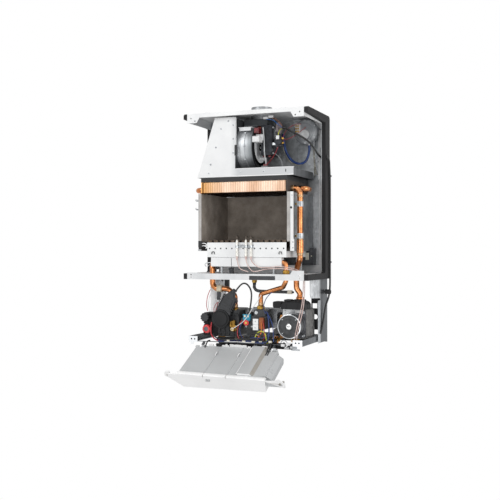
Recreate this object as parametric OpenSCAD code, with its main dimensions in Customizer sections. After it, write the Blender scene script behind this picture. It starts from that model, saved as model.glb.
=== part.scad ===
// Wall-hung gas boiler with its outer case and chamber cover off and its control panel folded down.
// X runs to the right, Y from the front to the wall, Z up. The origin lies on the wall face of the
// rear rail, on the middle of the width, at the bottom of the chassis.

/* [Casing] */
// Width of the chassis over its sheet flanges
body_w = 400; // [390:1:430]
// Height of the chassis from its bottom to the top of the top plate
body_h = 745; // [735:1:800]
// Depth of the chassis from the wall to its front flanges
body_d = 250; // [246:1:290]
// Thickness of the chassis sheet
sheet_t = 1.2; // [0.8:0.1:1.6]
// Height of the top of the chamber floor
floor_h = 227; // [224:1:232]
// Height of the front and side flanges of the chamber floor
floor_flange = 18.7; // [14:0.1:24]
// Height of the front flange of the top plate
top_flange = 13; // [10:0.5:20]
// Height of the corner tabs of the top plate
tab_h = 30; // [26:1:36]
// Width of the corner tabs of the top plate
tab_w = 44; // [38:1:52]
// Diameter of the screw holes in the corner tabs
tab_hole_d = 5; // [3:0.5:6]
// Thickness of the foam seal strips
foam_t = 13; // [6:1:18]
// Height of the foam strip beside the top plate
foam_h = 17; // [15:1:30]

/* [Flue] */
// Bore of the flue collar
flue_bore = 60; // [56:1:64]
// Wall of the flue collar
flue_wall = 4.5; // [2:0.5:6]
// Height of the flue collar above the top plate
flue_rise = 26; // [20:1:50]
// Distance from the front flanges to the flue axis
flue_y = 125; // [115:1:140]

/* [Fan] */
// Outer radius of the fan drum
fan_r = 70; // [66:1:72]
// Width of the fan drum
fan_w = 56; // [52:1:58]
// Radius of the fan wheel
wheel_r = 60; // [40:1:62]
// Number of blades on the fan wheel
blade_count = 24; // [12:2:30]

/* [Flue gas hood] */
// Height of the hood above the heat exchanger
hood_h = 191.8; // [188:0.2:196]

/* [Combustion] */
// Room between the insulation boards and each side wall
wall_room = 52; // [50:1:56]
// Thickness of the insulation boards
board_t = 10; // [6:1:11]
// Height of the heat exchanger fins
fin_h = 37; // [30:1:40]
// Distance between two fins
fin_pitch = 4; // [3:0.5:8]
// Thickness of a fin
fin_t = 1.2; // [0.6:0.1:1.8]
// Number of burner ramps
ramp_count = 14; // [10:1:14]
// Thickness of a burner ramp
ramp_w = 12; // [8:0.5:14]

/* [Pipes] */
// Outer diameter of the heating pipes
pipe_d = 18; // [15:0.5:18]
// Outer diameter of the gas pipe
gas_d = 15; // [12:0.5:16]
// Bend radius of the pipes on their axis
bend_r = 20; // [18:1:21]
// Distance between two service pipes at the bottom
tail_pitch = 65; // [64:0.5:66]
// Length of a service pipe below the chassis
tail_l = 20; // [16:1:40]

/* [Pump] */
// Diameter of the pump motor
pump_d = 76; // [70:1:78]
// Length of the pump motor
pump_l = 44; // [40:1:46]
// Diameter of the vent screw on the pump
vent_d = 18; // [14:1:20]

/* [Control panel] */
// Angle of the open panel below the horizontal
panel_open = 27; // [20:1:35]
// Length of the panel from its hinge to its free edge
panel_l = 165; // [150:1:172]
// Depth of the panel box
panel_t = 39; // [34:1:46]
// Wall of the panel mouldings
panel_wall = 2.4; // [1.6:0.2:3]
// Diameter of the panel hinge pins
hinge_d = 6; // [4:0.5:7]
// Diameter of the two front knobs
knob_d = 38; // [30:1:42]

/* [Fits] */
// Radial clearance of a turning shaft
run_gap = 0.05; // [0.02:0.01:0.1]
// Gap between parts that lie close to each other
gap = 0.3; // [0.2:0.05:0.5]

/* [Hidden] */
$fn = 48;

hw = body_w / 2;
chamber_w = body_w - 2 * wall_room;
ramp_pitch = (chamber_w - 41.2) / (ramp_count - 1);
F = -body_d;
t = sheet_t;
chamber_x = -10;
z_floor = floor_h;
z_ramp = z_floor + 57;
z_chamber = z_floor + 105;
z_hood_top = body_h - t - 14;
z_hood = z_hood_top - hood_h;
z_band = z_hood - 15;
z_fins = z_band - fin_h;
in0 = chamber_x - chamber_w / 2;
in1 = chamber_x + chamber_w / 2;
y_in = F + 20;
y_board = -17;
shell0 = in0 - board_t - t;
shell1 = in1 + board_t + t;
fan_x0 = -42;
fan_x1 = fan_x0 + fan_w;
fan_y = F + 105;
fan_z = z_hood_top - 92;
flue_x = fan_x0 + fan_w / 2 + 26;
pipe_r = pipe_d / 2;
gas_r = gas_d / 2;
flow_x = hw - 33;
gas_x = hw - 70;
pump_x = hw - 57;
return_x = -hw + 68;
pump_z = 63;
pump_y = F + 22;
hinge_y = F + 4;
hinge_z = -10;
tray0 = -162;
tray1 = 120;
ramp_x0 = in1 - 10.8 - (ramp_count - 1) * ramp_pitch;

function unit(v) = v / norm(v);
function side_of(d) = unit(cross(d, abs(d[2]) < 0.9 ? [0, 0, 1] : [1, 0, 0]));
function between(a, b, c, d, s) = 0.5 * (2 * b + (c - a) * s + (2 * a - 5 * b + 4 * c - d) * s * s +
    (3 * b - a - 3 * c + d) * s * s * s);
function smooth(p, k) = [for (i = [0 : len(p) - 2]) for (j = [0 : k - 1])
    between(p[max(i - 1, 0)], p[i], p[i + 1], p[min(i + 2, len(p) - 1)], j / k), p[len(p) - 1]];

module box3(x0, x1, y0, y1, z0, z1) { translate([x0, y0, z0]) cube([x1 - x0, y1 - y0, z1 - z0]); }
module out_xz(pts, y0, y1) { translate([0, y1, 0]) rotate([90, 0, 0]) linear_extrude(y1 - y0)
    polygon(pts); }
module out_yz(pts, x0, x1) { translate([x0, 0, 0]) rotate([90, 0, 90]) linear_extrude(x1 - x0)
    polygon(pts); }
module out_xy(pts, z0, z1) { translate([0, 0, z0]) linear_extrude(z1 - z0) polygon(pts); }
module cyl_x(x0, x1, y, z, r) { translate([x0, y, z]) rotate([0, 90, 0]) cylinder(r = r, h = x1 - x0); }
module cyl_y(x, y0, y1, z, r) { translate([x, y1, z]) rotate([90, 0, 0]) cylinder(r = r, h = y1 - y0); }
module cyl_z(x, y, z0, z1, r) { translate([x, y, z0]) cylinder(r = r, h = z1 - z0); }
module hex_z(x, y, z0, z1, r, bore) {
    difference() {
        translate([x, y, z0]) cylinder(r = r, h = z1 - z0, $fn = 6);
        cyl_z(x, y, z0 - 1, z1 + 1, bore);
    }
}
module framed(x, y, z, o) {
    multmatrix([[x[0], y[0], z[0], o[0]], [x[1], y[1], z[1], o[1]], [x[2], y[2], z[2], o[2]], [0, 0, 0, 1]])
        children();
}
module rod(a, b, r) {
    d = unit(b - a);
    s = side_of(d);
    framed(s, cross(d, s), d, a) cylinder(r = r, h = norm(b - a));
}
// A bent pipe through points, with a low solder ring at each end of each bend
module bent_pipe(points, r, bend) {
    n = len(points);
    dirs = [for (i = [0 : n - 2]) unit(points[i + 1] - points[i])];
    turn = [for (i = [1 : n - 2]) acos(dirs[i - 1] * dirs[i])];
    cut = [for (i = [0 : n - 1]) i == 0 || i == n - 1 ? 0 : bend * tan(turn[i - 1] / 2)];
    for (i = [0 : n - 2]) rod(points[i] + dirs[i] * cut[i], points[i + 1] - dirs[i] * cut[i + 1], r);
    for (i = [1 : n - 2]) {
        u = dirs[i - 1];
        m = unit(dirs[i] - u * (u * dirs[i]));
        framed(-m, u, cross(u, m), points[i] - u * cut[i] + m * bend)
            rotate_extrude(angle = turn[i - 1]) translate([bend, 0]) circle(r = r);
        for (e = [[points[i] - dirs[i - 1] * cut[i], dirs[i - 1]], [points[i] + dirs[i] * cut[i], dirs[i]]])
            rod(e[0] - e[1] * 0.6, e[0] + e[1] * 0.6, r + 0.15);
    }
}
// A wire or hose swept along a smooth line through points
module wire(points, r, k = 3, sides = 8) {
    q = smooth(points, k);
    n = len(q);
    tan_ = [for (i = [0 : n - 1]) unit(q[min(i + 1, n - 1)] - q[max(i - 1, 0)])];
    side = [for (i = 0, s = side_of(tan_[0]); i < n; i = i + 1,
        s = i < n ? unit(s - tan_[i] * (s * tan_[i])) : s) s];
    ring = [for (i = [0 : n - 1]) for (a = [0 : sides - 1])
        q[i] + r * (cos(360 * a / sides) * side[i] + sin(360 * a / sides) * cross(tan_[i], side[i]))];
    polyhedron(ring, concat(
        [for (i = [0 : n - 2]) for (a = [0 : sides - 1]) let (b = (a + 1) % sides)
            each [[i * sides + a, (i + 1) * sides + a, i * sides + b],
                [i * sides + b, (i + 1) * sides + a, (i + 1) * sides + b]]],
        [[for (a = [0 : sides - 1]) a]], [[for (a = [0 : sides - 1]) n * sides - 1 - a]]));
}

module top_plate() {
    color("whitesmoke") {
        difference() {
            box3(-hw, hw, F, 0, body_h - t, body_h);
            cyl_z(flue_x, F + flue_y, body_h - 5, body_h + 5, flue_bore / 2 + flue_wall + gap);
        }
        difference() {
            out_xz([[-hw, body_h - tab_h], [-hw + tab_w - 10, body_h - tab_h],
                [-hw + tab_w, body_h - top_flange],
                [hw - tab_w, body_h - top_flange], [hw - tab_w + 10, body_h - tab_h], [hw, body_h - tab_h],
                [hw, body_h - t], [-hw, body_h - t]], F, F + t);
            for (s = [-1, 1]) {
                cyl_y(s * (hw - 14), F - 1, F + 5, body_h - 15, tab_hole_d / 2);
                cyl_y(s * (hw - 28), F - 1, F + 5, body_h - 24, tab_hole_d / 2);
            }
        }
        for (s = [-1, 1]) box3(s > 0 ? hw - t : -hw, s > 0 ? hw : -hw + t, F + t, F + 184 - gap,
            body_h - 28, body_h - t);
        for (x = [-128, 132]) box3(x - 9, x + 9, F, F + 6, body_h, body_h + 0.8);
    }
}
module back_panel() {
    color("silver") {
        difference() {
            box3(-hw, hw, -t, 0, z_floor + 8, body_h - t);
            for (z = [360, 430]) box3(hw - 74, hw - 70, -5, 5, z - 26, z + 26);
            for (s = [-1, 1]) cyl_y(s * 120, -5, 5, body_h - 55, 5);
        }
        difference() {
            for (s = [-1, 1]) box3(s > 0 ? hw - t : -hw, s > 0 ? hw : -hw + t, F + 184, -t, z_floor + 8,
                body_h - t);
            cyl_x(hw - 5, hw + 5, hole_y, hole_z, 4.6);
        }
    }
}
module chamber_floor() {
    zb = z_floor - floor_flange;
    color("gainsboro") {
        difference() {
            box3(-hw, hw, F, -t, z_floor - t, z_floor);
            cyl_z(flow_x - 18.6, F + 79.6, z_floor - 5, z_floor + 5, pipe_r + 3);
            cyl_z(return_x, F + 50, z_floor - 5, z_floor + 5, pipe_r + 2);
            cyl_z(gas_x, F + 32, z_floor - 5, z_floor + 5, gas_r + 2);
            cyl_z(4, F + 80, z_floor - 5, z_floor + 5, 4.8);
            cyl_z(hw - 8.4, F + 29, z_floor - 5, z_floor + 5, 3.4);
            cyl_z(hw - 14.2, F + 36.6, z_floor - 5, z_floor + 5, 3.4);
        }
        difference() {
            out_xz([[-hw, zb], [hw, zb], [hw, z_floor + 12], [hw - 38, z_floor + 12],
                [hw - 46, z_floor - t], [-hw + 44, z_floor - t],
                [-hw + 36, z_floor + 3], [-hw, z_floor + 3]], F, F + t);
            for (s = [-1, 1]) {
                cyl_y(s * (hw - 14), F - 1, F + 5, z_floor - 4, tab_hole_d / 2);
                cyl_y(s * (hw - 14), F - 1, F + 5, z_floor - 12, 1.8);
            }
        }
        for (s = [-1, 1]) box3(s > 0 ? hw - t : -hw, s > 0 ? hw : -hw + t, F + t, -t, zb, z_floor - t);
        box3(-hw + t, hw - t, -2 * t, -t, z_floor, z_floor + 25);
    }
}
module floor_insert() {
    color("dimgray") difference() {
        box3(18.6, 105, F - 1.6, F, z_floor - 18.4, z_floor - 5.6);
        box3(22, 101, F - 3, F - 0.8, z_floor - 16, z_floor - 8);
    }
}
cheek_y = 64;
module rear_frame() {
    color("lightgray") {
        for (s = [-1, 1]) {
            x0 = s > 0 ? hw - 2 * t : -hw + t;
            difference() {
                out_yz([[F + (s > 0 ? cheek_y : 175), z_floor - t], [F + (s > 0 ? cheek_y : 175), 163],
                    [F + (s > 0 ? cheek_y + 12 : 175), 150],
                    [F + 168, 146], [F + 175, 139], [F + 175, 0], [-t, 0], [-t, z_floor - t]], x0, x0 + t);
                if (s > 0) cyl_x(x0 - 1, x0 + 5, F + cheek_y + 44, z_floor - 27, 3);
            }
            box3(s > 0 ? hw - 26 : -hw + t, s > 0 ? hw - t : -hw + 26, -t, 0, -4, z_floor - t);
        }
        difference() {
            box3(-hw + 26, hw - 26, -t, 0, -4, 20);
            for (s = [-1, 1]) cyl_y(s * 120, -5, 5, 10, 4);
        }
        box3(-hw + 26, hw - 26, -18, -t, -4, -4 + t);
    }
}
module side_rails() {
    color("lightgray") {
        for (s = [-1, 1]) {
            difference() {
                union() {
                    box3(s > 0 ? hw - 6 - t : -hw + 6, s > 0 ? hw - 6 : -hw + 6 + t, F + t, -t, 4.5, 24);
                    box3(s > 0 ? hw - 20 : -hw + 6, s > 0 ? hw - 6 : -hw + 20, F + t, -t, 4.5, 4.5 + t);
                    box3(s > 0 ? hw - 37 : -hw + 6, s > 0 ? hw - 6 : -hw + 37, F, F + t, 4.5, 24);
                    box3(s > 0 ? hw - 22 : -hw + 12, s > 0 ? hw - 12 : -hw + 22, F, F + t, -3, 4.5);
                }
                cyl_y(s * (hw - 16), F - 1, F + 5, 15, 2.6);
                cyl_y(s * (hw - 27), F - 1, F + 5, 15, 2.6);
            }
        }
        box3(-hw + 6 + t, hw - 6 - t, F + 14, F + 26, 4.5 + t, 4.5 + 2 * t);
        for (x = [tray0 + 12, tray1 - 24]) difference() {
            union() {
                cyl_x(x, x + 3, hinge_y, hinge_z, hinge_d / 2 + 4);
                out_yz([[hinge_y, hinge_z - hinge_d / 2 - 4], [F + 26, 0], [F + 26, 4.5 + t],
                    [F + 14, 4.5 + t], [hinge_y - 4, hinge_z + hinge_d / 2 + 2]], x, x + 3);
            }
            cyl_x(x - 1, x + 4, hinge_y, hinge_z, hinge_d / 2);
        }
        for (x = [tray0 + 12, tray1 - 24]) cyl_x(x, x + 14, hinge_y, hinge_z, hinge_d / 2);
    }
}
module rear_bracket() {
    color([0.1, 0.1, 0.11]) {
        difference() {
            box3(hw - 2 * t - 2, hw - 2 * t, F + 178, F + 214, 42, 150);
            box3(hw - 10, hw, F + 186, F + 200, 112, 128);
            cyl_x(hw - 10, hw + 5, F + 194, 84, 9);
            box3(hw - 10, hw, F + 186, F + 200, 50, 66);
        }
        difference() {
            box3(hw - 34, hw - 2 * t - 2, F + 178, F + 180, 42, 150);
            box3(hw - 30, hw - 12, F + 170, F + 190, 112, 128);
            cyl_y(hw - 20, F + 170, F + 190, 84, 8);
        }
        box3(-hw + 28, -hw + 43, -12, -2.4, 160, z_floor - t);
    }
}
module foam_seals() {
    zt = z_floor;
    color([0.12, 0.12, 0.12]) for (s = [-1, 1]) difference() {
        out_yz(concat([[F, zt - floor_flange], [-20, zt - floor_flange], [-18, zt - floor_flange + 2]],
            [for (a = [0 : 15 : 90]) [-30 + 12 * cos(a), body_h - 11 + 12 * sin(a)]],
            [[F + 6, body_h + 1], [F, body_h - 4], [F, body_h - foam_h], [F + 60, body_h - foam_h - 2],
            [F + 183, body_h - foam_h - 8],
            [F + 183, zt + 6], [F + 176, zt], [F, zt]]),
            s > 0 ? hw : -hw - foam_t, s > 0 ? hw + foam_t : -hw);
        if (s > 0) cyl_x(hw - 1, hw + foam_t + 1, hole_y, hole_z, 5);
    }
}
module flue_collar() {
    color("gray") difference() {
        union() {
            cyl_z(flue_x, F + flue_y, z_hood_top + gap, body_h + flue_rise, flue_bore / 2 + flue_wall);
            cyl_z(flue_x, F + flue_y, body_h, body_h + 2, flue_bore / 2 + flue_wall + 9);
        }
        cyl_z(flue_x, F + flue_y, z_hood_top - 1, body_h + flue_rise + 1, flue_bore / 2);
    }
}
hood_low1 = in1 + 21;
hood_low0 = in0 - 14.5;
module hood_shell() {
    lip = z_hood + 24;
    color("gray") {
        difference() {
            out_xz([[hood_low0, z_hood], [hood_low1 - 2, z_hood], [hood_low1 - 2, lip], [fan_x0 - gap, lip],
                [fan_x0 - gap, z_hood_top - 2], [in0 + 48, z_hood_top - 2]], F + 21, -25);
            out_xz([[hood_low0 + 1.5, z_hood - 1], [hood_low1 - 3.2, z_hood - 1],
                [hood_low1 - 3.2, lip - 1.2], [fan_x0 - gap - 1.2, lip - 1.2],
                [fan_x0 - gap - 1.2, z_hood_top - 3.2], [in0 + 49.1, z_hood_top - 3.2],
                [hood_low0 + 1.8, z_hood + 1]], F + 20, -26.2);
            cyl_x(fan_x0 - 4, fan_x0 + 4, fan_y, fan_z, 34);
        }
    }
}
module hood_front() {
    lip = z_hood + 26;
    color("white") difference() {
        out_xz([[hood_low0, z_hood], [hood_low1, z_hood], [hood_low1, lip], [-39, lip], [-38, z_hood_top],
            [in0 + 48, z_hood_top]], F + 19.8, F + 21);
        box3(in1 - 6, in1 - 3, F + 10, F + 30, z_hood + 10, z_hood + 19);
    }
}
hood_screw_at = [[-62, 180 / 191.8], [-45, 166 / 191.8], [in0 + 70, 156 / 191.8], [-45, 122 / 191.8],
    [in0 + 52, 97 / 191.8], [-45, 77 / 191.8], [in0 + 33, 42 / 191.8], [in0 + 27, 14 / 191.8],
    [-20, 14 / 191.8], [60, 14 / 191.8]];
module hood_screws() {
    color("dimgray") for (p = hood_screw_at) cyl_y(p[0], F + 18.2, F + 19.8,
        z_hood + p[1] * (z_hood_top - z_hood), 2.4, $fn = 16);
}
module fan_housing() {
    color("silver") difference() {
        union() {
            cyl_x(fan_x0, fan_x1, fan_y, fan_z, fan_r);
            cyl_x(fan_x0 + fan_w / 2 - 1.5, fan_x0 + fan_w / 2 + 1.5, fan_y, fan_z, fan_r + 2);
            box3(fan_x0 + 4, fan_x1 - 4, fan_y - 6, F + 181, fan_z + 30, z_hood_top - 12);
            box3(fan_x0 + 4, flue_x + 31, F + flue_y - 31, F + flue_y + 31, z_hood_top - 22, z_hood_top);
        }
        cyl_x(fan_x0 + t, fan_x1 - t, fan_y, fan_z, fan_r - t);
        cyl_x(fan_x0 - 1, fan_x0 + 4, fan_y, fan_z, 34);
        cyl_x(fan_x1 - 4, fan_x1 + 1, fan_y, fan_z, 6);
        box3(fan_x0 + 5.2, fan_x1 - 5.2, fan_y - 4.8, F + 179.8, fan_z + 20, z_hood_top - 13.2);
        box3(fan_x0 + 5.2, flue_x + 29.8, F + flue_y - 29.8, F + flue_y + 29.8, z_hood_top - 20.8,
            z_hood_top - 1.2);
        box3(fan_x0 + 5.2, fan_x1 - 5.2, F + flue_y - 29.8, F + flue_y + 29.8, z_hood_top - 24,
            z_hood_top - 6);
        cyl_z(flue_x, F + flue_y, z_hood_top - 4, z_hood_top + 4, 28);
    }
}
module fan_rotor() {
    x0 = fan_x0 + 5;
    x1 = fan_x1 - 10;
    color("lightgray") {
        cyl_x(x1, x1 + 2, fan_y, fan_z, wheel_r);
        cyl_x(x1 - 4, fan_x1 + 60, fan_y, fan_z, 4);
        difference() {
            cyl_x(x0, x0 + 2, fan_y, fan_z, wheel_r);
            cyl_x(x0 - 1, x0 + 3, fan_y, fan_z, wheel_r - 16);
        }
        for (i = [0 : blade_count - 1]) translate([x0 + 1, fan_y, fan_z])
            rotate([i * 360 / blade_count, 0, 0])
            translate([0, wheel_r - 15, -0.6]) cube([x1 - x0, 13, 1.2]);
    }
}
module fan_motor() {
    x0 = fan_x1 + 14;
    color([0.16, 0.16, 0.17]) difference() {
        union() {
            box3(x0 + 4, x0 + 40, fan_y - 38, fan_y + 38, fan_z - 30, fan_z + 68);
            cyl_x(x0, x0 + 44, fan_y, fan_z, 27);
        }
        cyl_x(x0 - 1, x0 + 50, fan_y, fan_z, 4 + run_gap);
        cyl_x(x0 + 2.5, x0 + 41.5, fan_y, fan_z, 20);
        for (i = [0 : 7]) box3(x0 + 7 + i * 4, x0 + 8 + i * 4, fan_y - 40, fan_y - 36, fan_z - 28,
            fan_z + 66);
    }
    color("maroon") difference() {
        box3(x0 - 9, x0 + 4, fan_y - 30, fan_y + 30, fan_z + 32, fan_z + 66);
        box3(x0 - 7, x0 + 2, fan_y - 40, fan_y - 28, fan_z + 36, fan_z + 60);
    }
    color("silver") {
        cyl_x(x0 + 44, x0 + 50, fan_y, fan_z + 44, 22);
        box3(x0 + 40, x0 + 44, fan_y - 10, fan_y + 10, fan_z + 24, fan_z + 64);
    }
}
module fan_bracket() {
    x0 = fan_x1 + 14;
    color("white") {
        for (a = [40, 150, 270]) translate([fan_x1, fan_y, fan_z]) rotate([a, 0, 0]) translate([0, 34, -5])
            cube([14 + 4 - (a == 40 ? 4 : 0), 8, 10]);
        difference() {
            cyl_x(fan_x1, fan_x1 + 1.5, fan_y, fan_z, 50);
            cyl_x(fan_x1 - 1, fan_x1 + 3, fan_y, fan_z, 12);
        }
        box3(x0 - 12, x0 + 12, fan_y - 44, fan_y - 38, fan_z + 18, fan_z + 38);
        box3(fan_x0 + 4, fan_x1 - 4, fan_y - 62, fan_y - 0.589 * fan_r, fan_z + 0.848 * fan_r,
            fan_z + 0.848 * fan_r + 1.6);
        box3(fan_x0 + 8, fan_x1 - 8, fan_y - 62, fan_y - 60, fan_z + 0.848 * fan_r - 10,
            fan_z + 0.848 * fan_r);
    }
}
module fan_leads() {
    x = fan_x1;
    color("royalblue") wire([[x + 42, F + 64, fan_z + 85.5], [x + 62, F + 66, fan_z + 72],
        [x + 76, F + 70, fan_z + 62], [x + 86.8, F + 78, fan_z + 58]], 1.1, 3, 6);
    color("brown") wire([[x + 52, F + 66, fan_z + 92.5], [x + 70, F + 68, fan_z + 88],
        [x + 82, F + 74, fan_z + 74], [x + 86.8, F + 81, fan_z + 61]], 1.1, 3, 6);
    color("yellowgreen") wire([[x + 59, F + 60, fan_z + 22.5], [x + 66, F + 61, fan_z + 38],
        [x + 76, F + 66, fan_z + 50], [x + 86.8, F + 80, fan_z + 55]], 1.1, 3, 6);
    color("ivory") {
        box3(x + 32, x + 50, F + 60, F + 70, fan_z + 86, fan_z + 91);
        box3(x + 49, x + 61, F + 62, F + 72, fan_z + 86, fan_z + 92);
        box3(x + 40, x + 50, F + 70, F + 76, fan_z + 68, fan_z + 91);
        box3(x + 49, x + 60, F + 56, F + 66.7, fan_z + 8, fan_z + 22);
    }
}
switch_x = hw - 60;
switch_y = -60;
switch_z = body_h - 50;
module pressure_switch() {
    color([0.75, 0.76, 0.78]) {
        cyl_y(switch_x, switch_y, switch_y + 26, switch_z, 42);
        cyl_y(switch_x, switch_y - 5, switch_y, switch_z - 2, 30);
        cyl_y(switch_x, switch_y - 13, switch_y - 5, switch_z - 10, 15);
        box3(switch_x - 30, switch_x - 14, switch_y - 12, switch_y, switch_z - 8, switch_z + 26);
        box3(switch_x - 6, switch_x + 6, switch_y + 26, -2 * t, switch_z - 20, switch_z + 20);
        box3(switch_x - 22, switch_x + 22, -2 * t, -t, switch_z - 30, switch_z + 30);
        cyl_z(switch_x + 11, switch_y + 12, switch_z - 52, switch_z - 38, 3);
        cyl_z(switch_x + 27, switch_y + 12, switch_z - 60, switch_z - 28, 4);
    }
}
module pressure_tube() {
    color([0.12, 0.23, 0.45]) wire([[64, switch_y - 4, fan_z + 52], [69, switch_y - 4, fan_z + 16],
        [78, switch_y - 2, fan_z - 14], [96, switch_y, fan_z - 38],
        [switch_x - 18, switch_y + 4, fan_z - 48], [switch_x + 3, switch_y + 8, fan_z - 36],
        [switch_x + 11, switch_y + 12, fan_z - 6], [switch_x + 11, switch_y + 12, switch_z - 52.6]], 4, 4,
        10);
}
module exchanger_fins() {
    d = -30 - y_in;
    n = floor((chamber_w - 11) / fin_pitch / 2);
    color([0.87, 0.68, 0.52]) {
        out_xy(concat(
            [for (i = [-n : n]) each [[chamber_x + i * fin_pitch - fin_t / 2, y_in + d / 2],
            [chamber_x + i * fin_pitch - fin_t / 2, y_in], [chamber_x + i * fin_pitch + fin_t / 2, y_in],
            [chamber_x + i * fin_pitch + fin_t / 2, y_in + d / 2]]],
            [for (i = [n : -1 : -n]) each [[chamber_x + i * fin_pitch + fin_t / 2, y_in + d / 2 + 3],
            [chamber_x + i * fin_pitch + fin_t / 2, y_in + d],
            [chamber_x + i * fin_pitch - fin_t / 2, y_in + d],
            [chamber_x + i * fin_pitch - fin_t / 2, y_in + d / 2 + 3]]]),
            z_fins, z_band);
        for (s = [-1, 1]) box3(s > 0 ? in1 - 3 : in0 + 3 - 4, s > 0 ? in1 + 1 : in0 + 3, y_in, y_in + d,
            z_fins, z_band);
        for (y = [0.15, 0.33, 0.67, 0.85]) cyl_x(in0, in1, y_in + y * d, z_fins + 11, 7);
    }
}
module exchanger_collar() {
    color([0.07, 0.07, 0.07]) difference() {
        box3(in0 - 1, in1 + 1, y_in - 1, -27, z_band, z_hood);
        box3(in0 + 0.5, in1 - 0.5, y_in + 0.5, -28.5, z_band - 1, z_hood + 1);
    }
}
module exchanger_bends() {
    z = z_fins + 14;
    color([0.79, 0.53, 0.35]) {
        bent_pipe([[in1 + 1, F + 104, z], [in1 + 34, F + 104, z], [in1 + 34, F + 152, z],
            [in1 + 1, F + 152, z]], 9, 18);
        bent_pipe([[in0 - 1, F + 156, z], [in0 - 26, F + 156, z], [in0 - 26, F + 196, z],
            [in0 - 1, F + 196, z]], 9, 16);
    }
}
module combustion_shell() {
    y1 = y_board + board_t;
    color("lightgray") {
        box3(shell0, shell0 + t, y_in, y1 + t, z_ramp + 16, z_fins - gap);
        box3(shell1 - t, shell1, y_in, y1 + t, z_ramp + 16, z_fins - gap);
        box3(shell0 + t, shell1 - t, y1, y1 + t, z_ramp - 30, z_fins - gap);
        difference() {
            union() {
                box3(shell1, shell1 + 8, y_in - t, y_in, z_ramp + 16, z_fins - gap);
                box3(shell1, shell1 + 13, y_in - t, y_in, z_ramp + 16, z_ramp + 54);
            }
            cyl_y(shell1 + 5, y_in - 5, y_in + 5, z_fins - 12, 2.2);
        }
        box3(shell1 - t, shell1, y_in - t, y_in, z_ramp + 16, z_fins - gap);
        for (z = [z_fins - 20, z_fins - 50]) cyl_x(shell0 - 8, shell0, y_in + 6, z, 1.6, $fn = 12);
    }
    color([0.1, 0.1, 0.1]) cyl_y(shell1 + 2.6, y_in - 4, y_in - t, z_fins - 50, 2.4);
}
module insulation() {
    z0 = z_chamber - 2;
    z1 = z_fins - gap;
    color([0.42, 0.39, 0.35]) {
        box3(in0 - board_t, in0, y_in, y_board, z0, z1);
        box3(in1, in1 + board_t, y_in, y_board, z0, z1);
        box3(in0 - board_t, in1 + board_t, y_board, y_board + board_t, z0, z1);
    }
}
module burner_ramps() {
    slot_pitch = (-40 - (F + 24)) / 6;
    color([0.2, 0.2, 0.2]) {
        for (i = [0 : ramp_count - 1]) difference() {
            box3(ramp_x0 + i * ramp_pitch - ramp_w / 2, ramp_x0 + i * ramp_pitch + ramp_w / 2, F + 24, -28,
                z_ramp, z_ramp + 50);
            for (j = [0 : 5]) box3(ramp_x0 + i * ramp_pitch - ramp_w / 2 + 2,
                ramp_x0 + i * ramp_pitch + ramp_w / 2 - 2, F + 32 + j * slot_pitch,
                F + 23 + (j + 1) * slot_pitch, z_ramp + 44, z_ramp + 52);
        }
        for (y = [F + 60, -70]) box3(ramp_x0, ramp_x0 + (ramp_count - 1) * ramp_pitch, y, y + 4, z_ramp + 4,
            z_ramp + 14);
    }
}
module burner_bracket() {
    x0 = ramp_x0 - ramp_w / 2 - 3;
    x1 = in1 - 10.8 + ramp_w / 2 + 3;
    color("whitesmoke") {
        difference() {
            box3(x0, x1, F + 18, F + 19.5, z_ramp - 4, z_ramp + 43);
            for (i = [0 : ramp_count - 1]) cyl_y(ramp_x0 + i * ramp_pitch, F + 10, F + 30, z_ramp + 24, 2);
        }
        box3(x0, x1, F + 19.5, F + 24 - gap, z_ramp + 1, z_ramp + 4);
        for (s = [0, 1]) box3(s == 0 ? x0 : x1 - 2, s == 0 ? x0 + 2 : x1, F + 19.5, y_board - 6, z_ramp - 4,
            z_ramp + 16);
        for (x = [x0 + 2, x1 - 20]) box3(x, x + 18, F + 30, F + 34, z_ramp - 4, z_ramp - 2);
        box3(x0 + 2, x1 - 2, F + 56, F + 70, z_ramp - 2, z_ramp);
        box3(x0 + 2, x1 - 2, -60, -46, z_ramp - 2, z_ramp);
        for (x = [x0 + 10, x1 - 30]) box3(x, x + 20, -54, -50, z_floor, z_ramp - 2);
    }
}
module gas_manifold() {
    color("white") {
        difference() {
            box3(in0 + 34, in1 - 19, F + 20, F + 42, z_floor + 23, z_ramp - 4 - gap);
            box3(in0 + 36, in1 - 21, F + 22, F + 40, z_floor + 25, z_ramp - 6 - gap);
            box3(-53, -50.6, F + 10, F + 21, z_floor + 27, z_floor + 52);
        }
    }
    color([0.1, 0.1, 0.1]) for (x = [in0 + 44, in1 - 31]) difference() {
        cyl_y(x, F + 14, F + 18, z_ramp + 10, 6);
        box3(x - 10, x + 10, F, F + 30, z_ramp, z_ramp + 7);
    }
    color("lightgray") for (x = [in0 + 68, in1 - 48]) box3(x - 3, x + 3, F + 28, F + 34, z_floor,
        z_floor + 23);
}
electrode_x = [-29, 2, 19];
module electrodes() {
    color("white") for (x = electrode_x) {
        cyl_z(x, F + 12, z_ramp + 6, z_ramp + 52, 2.6);
        cyl_z(x, F + 12, z_ramp - 2, z_ramp + 6, 3.6);
    }
    color("silver") {
        difference() {
            box3(-36, 26, F + 16.4, F + 18, z_ramp + 26, z_ramp + 36);
            cyl_y(-14, F + 10, F + 30, z_ramp + 31, 2);
        }
        for (x = electrode_x) box3(x - 4.5, x + 4.5, F + 13.6, F + 16.4, z_ramp + 27, z_ramp + 33);
        cyl_y(-14, F + 13, F + 16.4, z_ramp + 34, 3.6);
    }
}
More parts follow.
